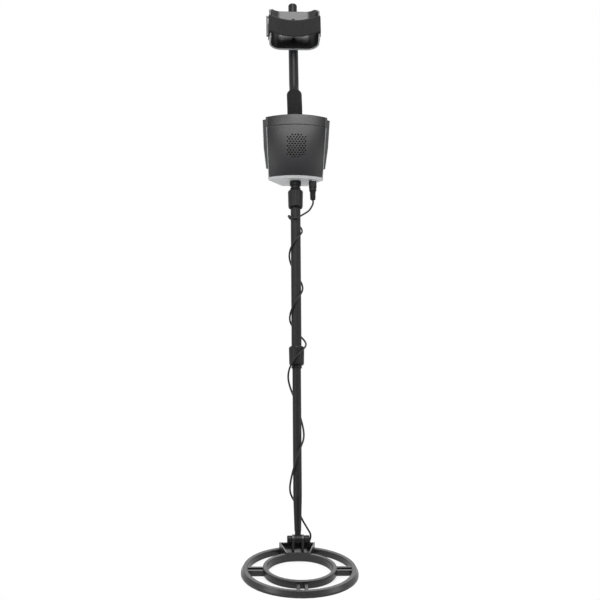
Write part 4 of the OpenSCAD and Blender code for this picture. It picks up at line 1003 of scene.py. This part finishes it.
FLOOR_Z = cad_box[0][2]
FLOOR_HALF = 12.0
ROOM_LEVEL = 0.12
ROOM_WAY = (0.0, -0.985, -0.17)
SKY_LEVEL = 0.35
floor_mesh = bpy.data.meshes.new("floor")
corners = [(-1, -1), (1, -1), (1, 1), (-1, 1)]
floor_mesh.from_pydata([(x * FLOOR_HALF, y * FLOOR_HALF, FLOOR_Z) for x, y in corners], [], [(0, 1, 2, 3)])
floor = bpy.data.objects.new("floor", floor_mesh)
bpy.context.collection.objects.link(floor)


def backdrop(tree, dim):
    """Which rays show the white backdrop, and how bright it is to them: glossy rays see it dimmed."""
    ray = add(tree, "ShaderNodeLightPath").outputs
    plain = add(
        tree, "ShaderNodeMath", {0: ray["Is Camera Ray"], 1: ray["Is Glossy Ray"]}, operation="MAXIMUM"
    )
    shows = add(tree, "ShaderNodeMath", {0: plain, 1: ray["Is Transmission Ray"]}, operation="MAXIMUM")
    others = add(tree, "ShaderNodeMath", {0: 1.0, 1: ray["Is Glossy Ray"]}, operation="SUBTRACT")
    mirrored = add(tree, "ShaderNodeMapRange", dim)
    return shows, add(tree, "ShaderNodeMath", {0: mirrored, 1: others}, operation="MAXIMUM")


# White paper: matt, with the object's shadow on it, and washed out to pure white away from the object.
FIBRE_MM = 4.0
SHADOW_WASH = 0.55
paper, tree, at = new_material("white_paper")
fibre = add(tree, "ShaderNodeTexNoise", {"Vector": at, "Scale": 1 / (FIBRE_MM * MM), "Detail": 2.0})
tint = add(tree, "ShaderNodeMix", {0: fibre, 6: linear("#f4f4f4"), 7: linear("#f8f8f8")}, data_type="RGBA")
coil_foot = (0.0, hinge_at.y, FLOOR_Z)
from_coil = add(tree, "ShaderNodeVectorMath", {0: at, 1: coil_foot}, operation="DISTANCE")
away = add(tree, "ShaderNodeMapRange", {"Value": from_coil, "From Min": 0.15, "From Max": 0.45})
wash = add(tree, "ShaderNodeMath", {0: away, 1: SHADOW_WASH}, operation="MAXIMUM")
forward = add(tree, "ShaderNodeSeparateXYZ", {0: at}).outputs["Y"]
shows, level = backdrop(
    tree, {"Value": forward, "From Min": -2.2, "From Max": -0.9, "To Min": ROOM_LEVEL, "To Max": 1.0}
)
both = add(
    tree,
    "ShaderNodeMixShader",
    {
        0: add(tree, "ShaderNodeMath", {0: shows, 1: wash}, operation="MULTIPLY"),
        1: add(tree, "ShaderNodeBsdfDiffuse", {"Color": tint}),
        2: add(tree, "ShaderNodeEmission", {"Color": linear("#ffffff"), "Strength": level}),
    },
)
add(tree, "ShaderNodeOutputMaterial", {"Surface": both})
floor_mesh.materials.append(paper)

world = bpy.data.worlds.new("studio")
bpy.context.scene.world = world
world.use_nodes = True
tree = world.node_tree
tree.nodes.clear()
gaze = add(tree, "ShaderNodeTexCoord").outputs["Object"]
facing = add(tree, "ShaderNodeVectorMath", {0: gaze, 1: ROOM_WAY}, operation="DOT_PRODUCT")
shows, level = backdrop(
    tree, {"Value": facing, "From Min": 0.6, "From Max": 0.93, "To Min": 1.0, "To Max": ROOM_LEVEL}
)
strength = add(tree, "ShaderNodeMapRange", {"Value": shows, "To Min": SKY_LEVEL, "To Max": level})
sky = add(tree, "ShaderNodeBackground", {"Color": linear("#ffffff"), "Strength": strength})
add(tree, "ShaderNodeOutputWorld", {"Surface": sky})

LAMP_AIM = Vector((0.0, -0.1, -0.2))
for name, place, size, watts in (
    ("overhead", (0.0, -0.8, 2.3), (1.6, 1.0), 42),
    ("front", (-0.2, -2.0, 1.9), (1.8, 0.8), 24),
    ("left", (-2.2, -1.6, 0.9), (1.2, 2.0), 22),
    ("right", (2.2, -1.2, 0.7), (1.0, 2.0), 14),
    ("rear", (0.5, 2.4, 1.7), (1.8, 1.2), 34),
):
    light = bpy.data.lights.new(name, "AREA")
    light.shape = "RECTANGLE"
    light.size, light.size_y = size
    light.energy = watts
    soft_box = bpy.data.objects.new(name, light)
    bpy.context.collection.objects.link(soft_box)
    soft_box.location = place
    soft_box.rotation_euler = (LAMP_AIM - Vector(place)).to_track_quat("-Z", "Y").to_euler()

YAW = math.radians(3.46)
PITCH = math.radians(12.86)
ROLL = math.radians(1.12)
CAMERA_AT = (-0.160, -2.9334, 0.2928)
camera_data = bpy.data.cameras.new("camera")
camera_data.sensor_width = 36.0
camera_data.lens = 90.0
camera = bpy.data.objects.new("camera", camera_data)
bpy.context.collection.objects.link(camera)
ahead = Vector((math.sin(YAW) * math.cos(PITCH), math.cos(YAW) * math.cos(PITCH), -math.sin(PITCH)))
level_right = Vector((math.cos(YAW), -math.sin(YAW), 0.0))
level_up = level_right.cross(ahead)
right = level_right * math.cos(ROLL) + level_up * math.sin(ROLL)
up = level_up * math.cos(ROLL) - level_right * math.sin(ROLL)
camera.matrix_world = Matrix.Translation(CAMERA_AT) @ Matrix((right, up, -ahead)).transposed().to_4x4()
bpy.context.scene.camera = camera
bpy.context.scene.view_settings.view_transform = "Standard"
